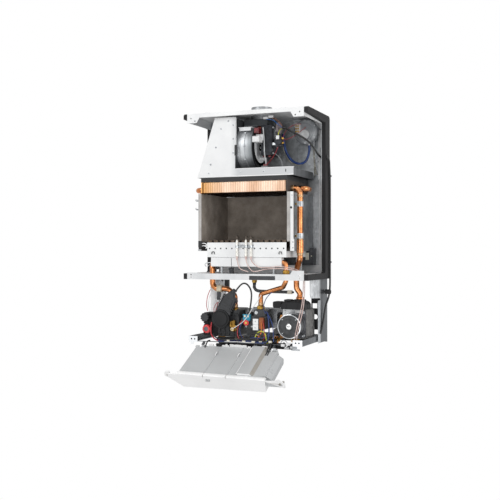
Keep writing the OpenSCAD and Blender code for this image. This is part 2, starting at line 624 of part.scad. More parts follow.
module electrode_leads() {
    color([0.8, 0.66, 0.62]) {
        wire([[-29, F + 12, z_ramp - 2 - gap], [-29, F + 12, z_ramp - 9], [-27, F + 12, z_ramp - 18],
            [-24, F + 12, z_ramp - 30], [-16, F + 12, z_ramp - 42], [10, F + 12, z_ramp - 50]], 1.4, 3, 6);
        wire([[2, F + 12, z_ramp - 2 - gap], [2, F + 12, z_ramp - 9], [5, F + 12, z_ramp - 22],
            [15, F + 12, z_ramp - 40], [32, F + 10, z_ramp - 49], [74, F + 9, z_ramp - 41],
            [hw - 86, F + 9, z_ramp - 39], [hw - 50, F + 14, z_ramp - 42], [hw - 16, F + 22, z_ramp - 52],
            [hw - 8.4, F + 29, z_floor], [hw - 8.4, F + 32, z_floor - 50],
            [hw - 11, F + 28, z_floor - 100], [hw - 16, F + 17, z_floor - 140],
            [hw - 24, F + 15, z_floor - 172], [hw - 32, F + 18, 8.5]], 1.4, 3, 6);
        wire([[19, F + 12, z_ramp - 2 - gap], [19, F + 12, z_ramp - 9], [26, F + 12, z_ramp - 22],
            [48, F + 12, z_ramp - 36], [78, F + 13, z_ramp - 36], [hw - 84, F + 13, z_ramp - 33],
            [hw - 46, F + 19, z_ramp - 38], [hw - 20, F + 28, z_ramp - 48], [hw - 14.2, F + 36.6, z_floor],
            [hw - 16, F + 40, z_floor - 50],
            [hw - 18, F + 34, z_floor - 95], [hw - 22, F + 17.5, z_floor - 135],
            [hw - 30, F + 15.5, z_floor - 172], [hw - 40, F + 18, 8.5]], 1.4, 3, 6);
    }
}
module flow_pipe() {
    z = z_fins + 13;
    color([0.79, 0.53, 0.35]) {
        bent_pipe([[in1 + 1, F + 60, z], [flow_x, F + 60, z], [flow_x, F + 60, z_floor + 48],
            [flow_x - 18, F + 76, z_floor + 10], [flow_x - 18.6, F + 80, z_floor - 46],
            [flow_x - 8, F + 84, z_floor - 62], [flow_x - 8, F + 84, 146]], pipe_r, bend_r);
        cyl_z(flow_x, F + 60, z_floor + 66, z_floor + 108, pipe_r + 2.4);
    }
}
module pipe_clips() {
    color("silver") for (z = [z_fins - 46, z_chamber + 7]) {
        difference() {
            union() {
                cyl_z(flow_x, F + 60, z, z + 17, pipe_r + 2);
                box3(shell1, flow_x - 8, F + 57, F + 63, z + 4, z + 13);
            }
            cyl_z(flow_x, F + 60, z - 1, z + 18, pipe_r + 0.1);
        }
    }
}
module return_pipe() {
    z = z_fins + 13;
    color([0.79, 0.53, 0.35])
        bent_pipe([[in0 - 1, F + 42, z], [-hw + 14, F + 42, z], [-hw + 14, F + 100, z],
            [-hw + 14, F + 100, z_ramp + 60],
            [-hw + 14, F + 190, z_ramp + 20], [-hw + 14, F + 190, z_floor + 32],
            [return_x, F + 50, z_floor + 32],
            [return_x, F + 50, z_floor - 49], [-76, F + 50, z_floor - 51], [-54, F + 55, z_floor - 72],
            [-54, F + 55, 112]], pipe_r, bend_r);
}
module gas_pipe() {
    color([0.79, 0.53, 0.35])
        bent_pipe([[in1 - 19, F + 32, z_floor + 37], [gas_x, F + 32, z_floor + 37],
            [gas_x, F + 32, z_floor - 22], [116, F + 44, z_floor - 42],
            [38, F + 50, z_floor - 65], [38, F + 50, 113]], gas_r, 10);
}
module brass_nuts() {
    color([0.69, 0.55, 0.24]) {
        hex_z(gas_x, F + 32, z_floor + gap, z_floor + 12, gas_r + 4, gas_r + 0.3);
        hex_z(38, F + 50, 113, 126, gas_r + 6, gas_r + 0.4);
        hex_z(4, F + 80, z_floor - 30, z_floor - t - gap, 9, 4.7);
        for (i = [-2 : 2]) hex_z(i * tail_pitch, F + 120, 4 + run_gap, 18, 14,
            (abs(i) == 1 ? 7 : 8.5) + 0.1);
    }
}
module drain_hose() {
    color([0.3, 0.3, 0.3]) {
        wire([[4, F + 80, z_floor - 1], [4, F + 80, z_floor - 34], [4, F + 80, z_floor - 46],
            [14, F + 82, z_floor - 56], [46, F + 84, z_floor - 58], [flow_x - 49, F + 84, z_floor - 59]],
            4.4, 3, 10);
        box3(flow_x - 49, flow_x - 35, F + 78, F + 90, z_floor - 65, z_floor - 53);
        box3(flow_x - 35, flow_x - 18.6 - pipe_r - 0.4, F + 80, F + 84, z_floor - 62, z_floor - 56);
    }
}
module plate_exchanger() {
    color([0.13, 0.13, 0.14]) {
        box3(-34, 76, F + 98, F + 100, 50, 112);
        for (i = [0 : 9]) box3(-32, 74, F + 100 + i * 6, F + 103 + i * 6, 52, 110);
        box3(-31, 73, F + 100, F + 158, 53, 109);
        box3(-34, 76, F + 158, F + 160, 50, 112);
        for (x = [-20, 62]) for (z = [62, 100]) cyl_y(x, F + 94, F + 98, z, 8);
    }
}
module pump_volute() {
    color([0.43, 0.41, 0.4]) difference() {
        union() {
            box3(pump_x - 37, pump_x + 43, pump_y + pump_l, F + 150, 22, 116);
            cyl_y(pump_x, pump_y + pump_l - 6, pump_y + pump_l, pump_z, pump_d / 2 + 3);
            box3(74, pump_x - 37, F + 104, F + 136, 30, 48);
            box3(60, 76, F + 108, F + 132, 30, 48);
        }
        cyl_y(pump_x, pump_y, pump_y + pump_l + 12, pump_z, 24);
        cyl_y(pump_x, pump_y, pump_y + pump_l + 26, pump_z, 4 + run_gap);
        cyl_y(pump_x, pump_y - 1, pump_y + pump_l, pump_z, pump_d / 2 + 0.1);
    }
    color([0.72, 0.5, 0.3]) box3(pump_x - 45, pump_x - 37, pump_y + pump_l, F + 100, 21, 96);
}
module pump_motor() {
    color([0.23, 0.23, 0.24]) difference() {
        cyl_y(pump_x, pump_y, pump_y + pump_l, pump_z, pump_d / 2);
        cyl_y(pump_x, pump_y + 8, pump_y + pump_l + 1, pump_z, 24);
        cyl_y(pump_x, pump_y - 1, pump_y + 9, pump_z, vent_d / 2 + run_gap);
        difference() {
            cyl_y(pump_x, pump_y - 1, pump_y + 1.2, pump_z, pump_d / 2 - 3);
            cyl_y(pump_x, pump_y - 2, pump_y + 2, pump_z, vent_d / 2 + 14);
        }
    }
}
module pump_rotor() {
    color("silver") {
        cyl_y(pump_x, pump_y + 12, pump_y + pump_l - 6, pump_z, 20);
        cyl_y(pump_x, pump_y + pump_l - 6, pump_y + pump_l + 24, pump_z, 4);
        cyl_y(pump_x, pump_y + pump_l + 2, pump_y + pump_l + 9, pump_z, 22);
    }
}
module vent_screw() {
    color("silver") difference() {
        cyl_y(pump_x, pump_y - 2.5, pump_y + 8, pump_z, vent_d / 2);
        box3(pump_x - vent_d / 2 + 2, pump_x + vent_d / 2 - 2, pump_y - 5, pump_y - 1.3, pump_z - 0.9,
            pump_z + 0.9);
    }
}
module air_vent() {
    color([0.1, 0.1, 0.11]) {
        box3(pump_x - 35, pump_x + 39, F + 46, F + 128, 116, 138);
        cyl_z(flow_x - 8, F + 84, 138, 146, 22);
        box3(pump_x - 63, pump_x - 35, F + 46, F + 76, 120, 140);
        box3(pump_x - 25, pump_x - 3, F + 46, F + 76, 138, 147);
    }
}
module diverter_body() {
    color([0.15, 0.15, 0.16]) difference() {
        union() {
            box3(-112, -38, F + 46, F + 138, 22, 112);
            cyl_z(-54, F + 60, 100, 112, 14);
        }
        cyl_y(-97, F + 40, F + 90, 78, 5 + run_gap);
    }
}
module diverter_motor() {
    color([0.14, 0.14, 0.15]) difference() {
        union() {
            cyl_y(-97, F + 22, F + 46, 78, 27);
            translate([-97, F + 26, 78]) rotate([0, 27, 0]) translate([-23, 0, 8]) cube([46, 14, 96]);
            translate([-97, F + 26, 78]) rotate([0, 27, 0]) for (i = [0 : 5]) translate([23, 1, 44 + i * 7])
                cube([3.5, 12, 3.5]);
            translate([-97, F + 26, 78]) rotate([0, 27, 0]) translate([-26, 0, 30]) cube([52, 15.5, 8]);
        }
        cyl_y(-97, F + 30, F + 50, 78, 8);
    }
}
module diverter_spindle() {
    color("goldenrod") {
        cyl_y(-97, F + 44, F + 80, 78, 5);
        cyl_y(-97, F + 40, F + 44, 78, 7);
    }
}
module gas_valve() {
    color([0.2, 0.2, 0.21]) {
        box3(-14, 60, F + 40, F + 92, 50, 92);
        box3(18, 58, F + 38, F + 72, 92, 113);
        box3(-14, 14, F + 60, F + 136, 28, 50);
        cyl_z(-2, F + 62, 92, 104, 12);
    }
    color([0.55, 0.3, 0.16]) box3(40, 56, F + 28, F + 40, 52, 88);
}
module valve_plate() {
    color("white") difference() {
        box3(20, 38, F + 26, F + 28, 48, 84);
        for (z = [56, 76]) cyl_y(29, F + 20, F + 40, z, 2);
    }
    color("white") box3(24, 34, F + 28, F + 40, 60, 72);
}
module flow_sensor() {
    color([0.08, 0.53, 0.66]) cyl_y(-4, F + 30, F + 40, 84, 13);
    color([0.75, 0.2, 0.16]) cyl_y(-4, F + 26, F + 30, 70, 9);
    color([0.75, 0.2, 0.16]) cyl_y(-4, F + 29, F + 39, 68, 5);
}
module safety_valve() {
    color([0.69, 0.55, 0.24]) difference() {
        union() {
            box3(-166, -112, F + 52, F + 136, 22, 60);
            cyl_y(-144, F + 40, F + 52, 46, 10);
            box3(-166, -112, F + 52, F + 90, 60, 98);
            cyl_y(-152, F + 46, F + 52, 83, 11);
            cyl_y(-52, F + 26, F + 46, 48, 7);
            box3(-64, -44, F + 34, F + 46, 54, 74);
        }
        cyl_y(-144, F + 20, F + 70, 46, 4 + run_gap);
        cyl_y(-152, F + 20, F + 70, 83, 4 + run_gap);
        cyl_y(-52, F + 20, F + 40, 48, 2.5);
    }
}
module safety_knob() {
    color([0.88, 0.23, 0.23]) {
        difference() {
            cyl_y(-144, F + 24, F + 38, 46, 14);
            for (i = [0 : 11]) translate([-144, F + 20, 46]) rotate([0, i * 30, 0]) translate([13.2, 0, -1])
                cube([3, 20, 2]);
            difference() {
                cyl_y(-144, F + 23, F + 26, 46, 9);
                cyl_y(-144, F + 20, F + 30, 46, 7);
            }
        }
        cyl_y(-144, F + 38, F + 66, 46, 4);
    }
}
module fill_tap() {
    color([0.12, 0.12, 0.13]) {
        difference() {
            cyl_y(-152, F + 28, F + 45, 83, 15);
            for (i = [0 : 9]) translate([-152, F + 20, 83]) rotate([0, i * 36, 0]) translate([13, 0, -1.5])
                cube([4, 30, 3]);
        }
        cyl_y(-152, F + 45, F + 66, 83, 4);
    }
}
module service_pipes() {
    color([0.79, 0.53, 0.35]) for (i = [-2 : 2]) {
        cyl_z(i * tail_pitch, F + 120, -tail_l, 4, abs(i) == 1 ? 7.5 : 9);
        cyl_z(i * tail_pitch, F + 120, 4, i == 0 ? 28 : i == 1 ? 30 : 22, abs(i) == 1 ? 7 : 8.5);
    }
}
module lower_harness() {
    color("firebrick") wire([[-125.4, F + 28, 68], [-124.5, F + 20, 46], [-120, F + 18, 26],
        [-104, F + 20, 12], [-84, F + 22, 9.3], [-44, F + 22, 9.3], [-2, F + 22, 9.3]], 2.2, 3, 6);
    color("navy") wire([[62.4, F + 46, 104], [70, F + 34, 84], [76, F + 24, 56], [76.6, F + 18, 28],
        [70, F + 17, 13], [58, F + 17, 9.3], [10, F + 17, 9.3], [-60, F + 17, 9.3], [-98, F + 17, 9.3]],
        2.2, 3, 6);
    color("gold") wire([[30, F + 22, 7.5], [31, F + 21, 26], [38, F + 20.5, 40], [52, F + 20.5, 46],
        [64, F + 20, 38], [68, F + 20, 22], [70, F + 22.5, 7.6]], 1.8, 3, 6);
    color("black") wire([[6, F + 22, 7.7], [8, F + 18, 22], [18, F + 14.8, 34], [32, F + 14.4, 40],
        [46, F + 14.4, 34], [54, F + 17, 22], [58, F + 22, 8]], 2, 3, 6);
}
hole_y = F + 196;
hole_z = fan_z - 30;
module black_cables() {
    cx = hw + foam_t + 3.6;
    color([0.08, 0.08, 0.08]) {
        wire([[-42, F + 33, 167.6], [-37, F + 34, 178], [-22, F + 38, 194], [-8, F + 40, 194],
            [4, F + 42, 180], [9, F + 42, 160], [6, F + 43, 130], [1, F + 45, 106], [0.6, F + 46, 92.9]],
            2.6, 3, 8);
        cyl_x(fan_x1 + 88, fan_x1 + 98, F + 80, fan_z + 58, 5.5);
        wire([[fan_x1 + 96, F + 80, fan_z + 58], [hw - 82, F + 110, fan_z + 50],
            [hw - 58, F + 146, fan_z + 36], [hw - 32, F + 164, fan_z + 14], [hw - 16, F + 184, fan_z - 16],
            [hw - 8, hole_y, hole_z + 2],
            [hw, hole_y, hole_z], [hw + foam_t + 2, hole_y, hole_z - 1], [cx + 3, hole_y + 5, hole_z - 9],
            [cx + 1.6, hole_y + 14, hole_z - 26], [cx, -30, hole_z - 60], [cx, -28, z_floor + 290],
            [cx, -28, z_floor + 150], [cx, -28, z_floor + 34],
            [cx, -32, z_floor - 60], [cx - 10, -44, z_floor - 110], [cx - 14, -60, z_floor - 160],
            [cx - 14, -86, z_floor - 196]], 3.2, 3, 8);
        for (z = [z_floor + 321, z_floor + 36]) box3(hw + foam_t, cx + 4.5, -33, -23, z - 3, z + 3);
        box3(hw, cx + 4, -38, -26, z_floor - 66, z_floor - 58);
    }
}
// Places what is drawn in the panel's own frame: X across, Y from the hinge to the free edge,
// Z out of its inner side
module panel_frame() { translate([0, hinge_y, hinge_z]) rotate([panel_open, 0, 0]) mirror([0, 1, 0])
    children(); }
module panel_cover() {
    u1 = panel_l - 15;
    color([0.74, 0.74, 0.74]) panel_frame() {
        difference() {
            box3(tray0, tray1, 12, u1, -22, 0);
            box3(tray0 + panel_wall, tray1 - panel_wall, 12 + panel_wall, u1 - panel_wall, -23,
                -panel_wall);
            out_xz([[60, 1], [62, -3], [104, -3], [104, 1]], 10, u1 + 1);
            out_xz([[112, 1], [112, -6], [115, -6], [115, 1]], 10, u1 + 1);
        }
        out_xz([[59, -panel_wall - 1], [62, -3 - panel_wall], [104, -3 - panel_wall],
            [105, -panel_wall - 1], [105, -1], [103, -3], [62, -3], [59, -1]], 12, u1);
        box3(110, 117, 12, u1, -8.4, -6);
        for (x = [-112, -36]) out_xz([[x - 1.5, 0], [x + 1.5, 0], [x, 1.6]], 16, u1 - 4);
        for (x = [-74, 0]) box3(x - 1.5, x + 1.5, 30, 44, 0, 5);
        out_xz([[38, 0], [58, 0], [55, 4], [41, 4]], 14, u1 - 6);
        for (x = [tray0 + 15 + gap, tray1 - 21 + gap]) difference() {
            union() {
                cyl_x(x, x + 8, 0, 0, hinge_d / 2 + 3);
                box3(x, x + 8, 0, 12, -hinge_d / 2 - 3, -1);
            }
            cyl_x(x - 1, x + 9, 0, 0, hinge_d / 2 + run_gap);
        }
        box3(tray1, tray1 + 14, 20, u1 - 12, -22, -12);
        box3(123 + gap, tray1 + 14, 20, u1 - 12, -34, -22);
    }
}
module panel_fascia() {
    u0 = 14;
    color([0.92, 0.92, 0.92]) panel_frame() {
        difference() {
            box3(-148, 123, u0, panel_l, -panel_t, -22);
            box3(-148 + panel_wall, 123 - panel_wall, u0 + panel_wall, panel_l - panel_wall,
                -panel_t + panel_wall, -21);
            for (x = [-70, 50]) cyl_z(x, 90, -panel_t - 1, -panel_t + 6, 3 + run_gap);
            box3(-14.3, 4.3, 70.7, 81.3, -panel_t - 1, -panel_t + 6);
            cyl_z(-10, 112, -panel_t - 1, -panel_t + 1.2, 17);
            cyl_z(-10, 112, -panel_t - 1, -panel_t + 5, 1 + run_gap);
        }
        difference() {
            out_xz([[-207, 1], [127, 1], [123, -panel_t], [-148, -panel_t]], panel_l - panel_wall, panel_l);
            out_xz([[-72, -8], [-50, -8], [-52, -14], [-70, -14]], panel_l - 0.8, panel_l + 1);
        }
        box3(tray0, tray1, panel_l - 15, panel_l - panel_wall, -2.4, 0);
        box3(-40, 123, panel_l - 15 + 0.2, panel_l - panel_wall, -22, -20);
        out_xz([[-207, 1], [-190, 1], [-190, 12], [-196, 14], [-207, 8]], panel_l - 8, panel_l);
        out_xz([[126.6, -4], [185, -22], [187, -6], [170, 6], [160, 2], [150, 0], [126.6, -1]], panel_l - 6,
            panel_l - panel_wall);
        for (x = [-70, 50]) difference() {
            cyl_z(x, 90, -panel_t + panel_wall, -30, 7);
            cyl_z(x, 90, -panel_t - 1, -29, 3 + run_gap);
        }
        difference() {
            cyl_z(-10, 112, -panel_t + 1.2, -panel_t + 4, 19);
            cyl_z(-10, 112, -panel_t, -panel_t + 5, 1 + run_gap);
        }
        difference() {
            box3(-18, 8, 67, 85, -panel_t + panel_wall, -31);
            box3(-14.3, 4.3, 70.7, 81.3, -panel_t, -30);
        }
    }
}
module knob(x) {
    panel_frame() {
        difference() {
            cyl_z(x, 90, -panel_t - 15, -panel_t - gap, knob_d / 2);
            box3(x - 1, x + 1, 90, 90 + knob_d, -panel_t - 16, -panel_t - 13.8);
        }
        cyl_z(x, 90, -panel_t - gap, -31, 3);
    }
}
module knob_heating() { color("silver") knob(-70); }
module knob_water() { color("silver") knob(50); }
module reset_button() {
    color("gray") panel_frame() {
        box3(-14, 4, 71, 81, -panel_t - 3, -31);
        cyl_z(-5, 76, -31, -28, 4);
    }
}
module gauge_pointer() {
    color("red") panel_frame() {
        cyl_z(-10, 112, -panel_t + 0.4, -panel_t + 0.9, 3);
        cyl_z(-10, 112, -panel_t + 0.9, -panel_t + 3.6, 1);
        box3(-10.6, -9.4, 112, 125, -panel_t + 0.4, -panel_t + 0.9);
    }
}
module panel_harness() {
    color([0.09, 0.09, 0.09]) for (x = [-130, 84, 90])
        wire([[x, F + 25, 9.3], [x, F + 14, 9.3], [x, F + 7, 8], [x, F - 1, 2], [x, F - 9, -7],
            [x, F - 18.6, -18.6], [x, F - 29.2, -24]], 2.2, 3, 8);
}

top_plate();
back_panel();
chamber_floor();
floor_insert();
rear_frame();
side_rails();
rear_bracket();
foam_seals();
flue_collar();
hood_shell();
hood_front();
hood_screws();
fan_housing();
fan_rotor();
fan_motor();
fan_bracket();
fan_leads();
pressure_switch();
pressure_tube();
exchanger_fins();
exchanger_collar();
exchanger_bends();
combustion_shell();
insulation();
burner_ramps();
burner_bracket();
gas_manifold();
electrodes();
electrode_leads();
flow_pipe();
pipe_clips();
return_pipe();
gas_pipe();
brass_nuts();
drain_hose();
plate_exchanger();
pump_volute();
pump_motor();
pump_rotor();
vent_screw();
air_vent();
diverter_body();
diverter_motor();
diverter_spindle();
gas_valve();
valve_plate();
flow_sensor();
safety_valve();
safety_knob();
fill_tap();
service_pipes();
lower_harness();
black_cables();
panel_cover();
panel_fascia();
panel_harness();
knob_heating();
knob_water();
reset_button();
gauge_pointer();
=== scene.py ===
import math
import bmesh
import bpy
from mathutils import Matrix, Vector


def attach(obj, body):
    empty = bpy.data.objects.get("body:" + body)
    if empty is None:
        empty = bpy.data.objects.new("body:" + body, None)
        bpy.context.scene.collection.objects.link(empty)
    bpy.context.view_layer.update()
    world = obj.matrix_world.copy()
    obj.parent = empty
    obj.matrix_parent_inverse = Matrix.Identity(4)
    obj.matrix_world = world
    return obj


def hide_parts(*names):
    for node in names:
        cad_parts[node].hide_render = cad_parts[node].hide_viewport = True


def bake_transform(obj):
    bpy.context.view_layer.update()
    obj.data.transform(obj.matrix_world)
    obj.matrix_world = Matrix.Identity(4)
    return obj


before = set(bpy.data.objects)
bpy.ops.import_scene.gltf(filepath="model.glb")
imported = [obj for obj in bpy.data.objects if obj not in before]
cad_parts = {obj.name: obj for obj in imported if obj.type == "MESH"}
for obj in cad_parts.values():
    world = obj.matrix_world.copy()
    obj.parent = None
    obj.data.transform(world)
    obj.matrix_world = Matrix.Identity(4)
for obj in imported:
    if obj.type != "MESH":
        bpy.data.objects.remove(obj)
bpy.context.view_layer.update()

# Lengths are written in millimetres here, and Blender's are metres. Seen from the front, X goes to the
# right, Y goes back and Z goes up.
MM = 0.001
RIGHT, BACK, UP = (1, 0, 0), (0, 1, 0), (0, 0, 1)
FRONT, DOWN = (0, -1, 0), (0, 0, -1)


def linear(colour):
    """A colour written as #RRGGBB, as the linear values that a shader takes"""
    parts = [int(colour[i : i + 2], 16) / 255 for i in (1, 3, 5)]
    return tuple(p / 12.92 if p <= 0.04045 else ((p + 0.055) / 1.055) ** 2.4 for p in parts) + (1.0,)


def add(tree, kind, inputs, **settings):
    """A new node; an input is a socket that it is linked to, or a plain value"""
    made = tree.nodes.new(kind)
    for name, value in settings.items():
        setattr(made, name, value)
    for name, value in inputs.items():
        if isinstance(value, bpy.types.NodeSocket):
            tree.links.new(value, made.inputs[name])
        else:
            made.inputs[name].default_value = value
    return made


def finish(name, dark, light, cloud, rough, grain=1.0, depth=0.0, along=(1, 1, 1), spread=0.16, **sockets):
    """A surface that drifts between two colours over cloud millimetres

    Its relief repeats over grain millimetres and is depth millimetres high; along stretches both patterns,
    and sockets are plain values of the shader's inputs.
    """
    material = bpy.data.materials.new(name)
    material.use_nodes = True
    tree = material.node_tree
    shader = tree.nodes["Principled BSDF"]
    for socket, value in sockets.items():
        shader.inputs[socket.replace("_", " ")].default_value = value
    place = add(tree, "ShaderNodeTexCoord", {}).outputs["Object"]
    wide = add(tree, "ShaderNodeMapping", {"Vector": place, "Scale": [a / cloud / MM for a in along]})
    pattern = {"Vector": wide.outputs[0], "Scale": 1.0, "Detail": 5.0, "Roughness": 0.6}
    drift = add(tree, "ShaderNodeTexNoise", pattern)
    ramp = add(tree, "ShaderNodeValToRGB", {"Fac": drift.outputs["Fac"]})
    for stop, at, colour in zip(ramp.color_ramp.elements, (0.5 - spread, 0.5 + spread), (dark, light)):
        stop.position = at
        stop.color = linear(colour)
    limits = {"From Min": 0.3, "From Max": 0.7, "To Min": rough[0], "To Max": rough[1]}
    gloss = add(tree, "ShaderNodeMapRange", {"Value": drift.outputs["Fac"], **limits})
    tree.links.new(ramp.outputs["Color"], shader.inputs["Base Color"])
    tree.links.new(gloss.outputs[0], shader.inputs["Roughness"])
    if depth:
        close = add(tree, "ShaderNodeMapping", {"Vector": place, "Scale": [a / grain / MM for a in along]})
        relief = add(tree, "ShaderNodeTexNoise", {"Vector": close.outputs[0], "Scale": 1.0, "Detail": 2.0})
        bump = add(tree, "ShaderNodeBump", {"Height": relief.outputs["Fac"], "Distance": depth * MM,
                                            "Strength": 1.0})
        tree.links.new(bump.outputs[0], shader.inputs["Normal"])
    return material


def dress(material, *nodes):
    """Nodes of the frame get the finish"""
    for node in nodes:
        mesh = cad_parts[node].data
        for i in range(max(1, len(mesh.materials))):
            if mesh.materials:
                mesh.materials[i] = material
            else:
                mesh.materials.append(material)


# White sheets of the chassis: cold-rolled steel, coated white before it is pressed and folded. The film
# is satin with a faint orange-peel relief about 2 mm across. The sheets are the top plate, the burner's
# bracket, the gas manifold and the valve's plate, which hook into each other and are held by sheet screws.
white_coat = finish("white coil-coated steel", "#E2E3E4", "#F0F1F1", 120, (0.34, 0.46), grain=2.2,
                    depth=0.02)
dress(white_coat, "top_plate", "burner_bracket", "gas_manifold", "valve_plate")
# The chamber floor has the same film, greyed by dust that settles on its level faces.
floor_coat = finish("white coil-coated steel, dusty", "#CCCED0", "#E4E5E6", 80, (0.4, 0.55), grain=2.2,
                    depth=0.02)
dress(floor_coat, "chamber_floor")


def span(low, high):
    """The eight corners of a box in millimetres"""
    return [Vector((x, y, z)) for x in (low[0], high[0]) for y in (low[1], high[1]) for z in (low[2],
            high[2])]


def bar(form, low, high, paint=0, turn=None):
    """A box between two corners; paint is the number of its finish in the piece's list"""
    corners = [form.verts.new(turn @ c if turn else c) for c in span(low, high)]
    for a, b, c, d in ((0, 1, 3, 2), (4, 6, 7, 5), (0, 4, 5, 1), (2, 3, 7, 6), (0, 2, 6, 4), (1, 5, 7, 3)):
        form.faces.new([corners[i] for i in (a, b, c, d)]).material_index = paint


def beside(axis, other=BACK):
    """A direction at right angles to an axis; other is what an upright axis is crossed with"""
    return axis.cross(Vector(UP) if abs(axis.z) < 0.9 else Vector(other)).normalized()


def skinned(form, rings, paint):
    """Faces between one ring of corners and the next, and over both ends; a ring of one corner is a tip"""
    count = max(len(ring) for ring in rings)
    for a, b in zip(rings, rings[1:]):
        for i in range(count):
            j = (i + 1) % count
            corners = [a[i % len(a)], a[j % len(a)], b[j % len(b)], b[i % len(b)]]
            corners = [c for k, c in enumerate(corners) if c not in corners[:k]]
            form.faces.new(corners).material_index = paint
    for ring in (rings[0], rings[-1]):
        if len(ring) > 1:
            form.faces.new(ring).material_index = paint


def turned(form, start, axis, profile, sides=32, paint=0):
    """A form turned on a lathe: each step is (height along the axis, radius), in millimetres"""
    axis = Vector(axis).normalized()
    across = beside(axis)
    up = axis.cross(across)
    rings = []
    for height, radius in profile:
        centre = Vector(start) + axis * height
        angles = [2 * math.pi * i / sides for i in range(sides if radius > 0 else 1)]
        spots = [centre + (across * math.cos(a) + up * math.sin(a)) * radius for a in angles]
        rings.append([form.verts.new(spot) for spot in spots])
    skinned(form, rings, paint)


def bars(form, rows, turn=None):
    """Boxes in rows of low corner, high corner and paint"""
    for row in rows:
        bar(form, *row, turn=turn)


def pushed(form, outline, axis, low, high, paint=0, turn=Matrix.Identity(4)):
    """An outline pushed out along the axis with that letter, from low to high"""
    ends = []
    for c in (low, high):
        spots = [{"x": (c, a, b), "y": (a, c, b), "z": (a, b, c)}[axis] for a, b in outline]
        ends.append([form.verts.new(turn @ Vector(spot)) for spot in spots])
    skinned(form, ends, paint)


def arc(cx, cz, radius, degrees):
    """Points of a circle at the given angles"""
    return [(cx + radius * math.cos(math.radians(a)), cz + radius * math.sin(math.radians(a)))
            for a in degrees]


def spokes(form, centre, axis, count, low, high, paint=0):
    """A bar repeated round a centre, about the axis with that letter"""
    for i in range(count):
        turn = Matrix.Translation(centre) @ Matrix.Rotation(2 * math.pi * i / count, 4, axis)
        bar(form, low, high, paint, turn)


# Faces that meet at more than this angle keep a crisp edge between them, and the bevel rounds it.
SHARP = math.radians(35)


def piece(name, form, finishes, body, stands_for=(), edge=0.0):
    """The form becomes an object in metres that rides on a body; edge is the radius of its rounded edges"""
    bmesh.ops.recalc_face_normals(form, faces=form.faces)
    bmesh.ops.scale(form, vec=(MM, MM, MM), verts=form.verts)
    mesh = bpy.data.meshes.new(name)
    form.to_mesh(mesh)
    form.free()
    for material in finishes:
        mesh.materials.append(material)
    mesh.shade_smooth()
    mesh.set_sharp_from_angle(angle=SHARP)
    made = bpy.data.objects.new(name, mesh)
    bpy.context.scene.collection.objects.link(made)
    if edge:
        rounding = made.modifiers.new("Rounded edges", "BEVEL")
        rounding.width = edge * MM
        rounding.segments = 2
        rounding.limit_method = "ANGLE"
        rounding.angle_limit = SHARP
        rounding.harden_normals = True
    if body:
        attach(made, body)
    if stands_for:
        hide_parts(*stands_for)
    return made


# Zinc-coated sheet screws with a pressed washer and a hexagon head that has a cross recess.
# They hold the flanges of the chassis and stand about 3 mm proud of the sheet.
screw_zinc = finish("zinc-plated steel", "#8E9194", "#C9CCCE", 6, (0.25, 0.4), Metallic=1.0)
recess_dark = finish("shadowed recess", "#141516", "#26282A", 4, (0.6, 0.8))


def sheet_screw(form, at, axis, radius, paint=0, recess=1):
    """A washer, a hexagon head and the two arms of its recess; radius is the washer's"""
    turned(form, at, axis, [(0, radius), (0.6, radius * 0.96), (0.9, radius * 0.72)], 20, paint)
    turned(form, at, axis, [(0.9, radius * 0.7), (2.3, radius * 0.68), (2.7, radius * 0.56)], 6, paint)
    axis = Vector(axis)
    side = beside(axis)
    up = axis.cross(side)
    long, narrow = radius * 0.38, radius * 0.09
    for a, b in ((side, up), (up, side)):
        turn = Matrix((a, b, axis)).transposed().to_4x4()
        turn.translation = Vector(at)
        bar(form, (-long, -narrow, 2.4), (long, narrow, 2.78), recess, turn)


screws = bmesh.new()
for x, z in ((168, 600), (170, 690), (-150, 690), (-120, 250), (96, 250)):
    sheet_screw(screws, (x, -1.2 if z > 300 else -2.4, z), FRONT, 3.4)
for z in (300, 420, 560, 660):
    for s in (-1, 1):
        sheet_screw(screws, (s * 198.8, -40, z), (-s, 0, 0), 3.2)
piece("chassis_screws", screws, [screw_zinc, recess_dark], "chassis")

# Pressed details of the top plate: two joggled tabs that the outer case hooks on, a rolled stiffening
# bead along each side of the flue, and the small lip that is folded back under the front flange.
lips = bmesh.new()
for x in (-128, 132):
    turned(lips, (x - 9, -248.6, 745.3), RIGHT, [(0, 0.9), (0.5, 1.6), (17.5, 1.6), (18, 0.9)], 16)
for x in (-62, 96):
    turned(lips, (x, -236, 745.2), BACK, [(0, 0), (2, 1.9), (216, 1.9), (218, 0)], 16)
bar(lips, (-156, -248.8, 732.2), (156, -243, 733.4))
piece("top_plate_pressings", lips, [white_coat], "chassis", edge=0.3)


def opened(material):
    """A finish's tree, its colour input, what feeds that input now, and the place on the object"""
    tree = material.node_tree
    colour = tree.nodes["Principled BSDF"].inputs["Base Color"]
    return tree, colour, colour.links[0].from_socket, add(tree, "ShaderNodeTexCoord", {}).outputs["Object"]


# Zinc-coated sheets: the wall panel, the frame behind the hydraulics, the side rails, the chamber's
# shell and the pipe clips. They are plain galvanised steel, punched and folded, with no paint.
# Hot-dip zinc shows spangle, flat crystals 8 or 9 mm across that each catch the light differently.
def galvanised(name, dark, light, crystal, rough):
    """Zinc whose crystals are crystal millimetres across"""
    sheet = finish(name, dark, light, 70, rough, grain=1.4, depth=0.012, Metallic=1.0)
    tree, colour, base, place = opened(sheet)
    cells = add(tree, "ShaderNodeTexVoronoi", {"Vector": place, "Scale": 1 / crystal / MM,
                                               "Randomness": 1.0})
    shade = add(tree, "ShaderNodeSeparateColor", {"Color": cells.outputs["Color"]})
    tone = add(tree, "ShaderNodeMapRange", {"Value": shade.outputs[0], "To Min": 0.82, "To Max": 1.12})
    mixed = add(tree, "ShaderNodeVectorMath", {0: base, 3: tone.outputs[0]}, operation="SCALE")
    tree.links.new(mixed.outputs[0], colour)
    return sheet


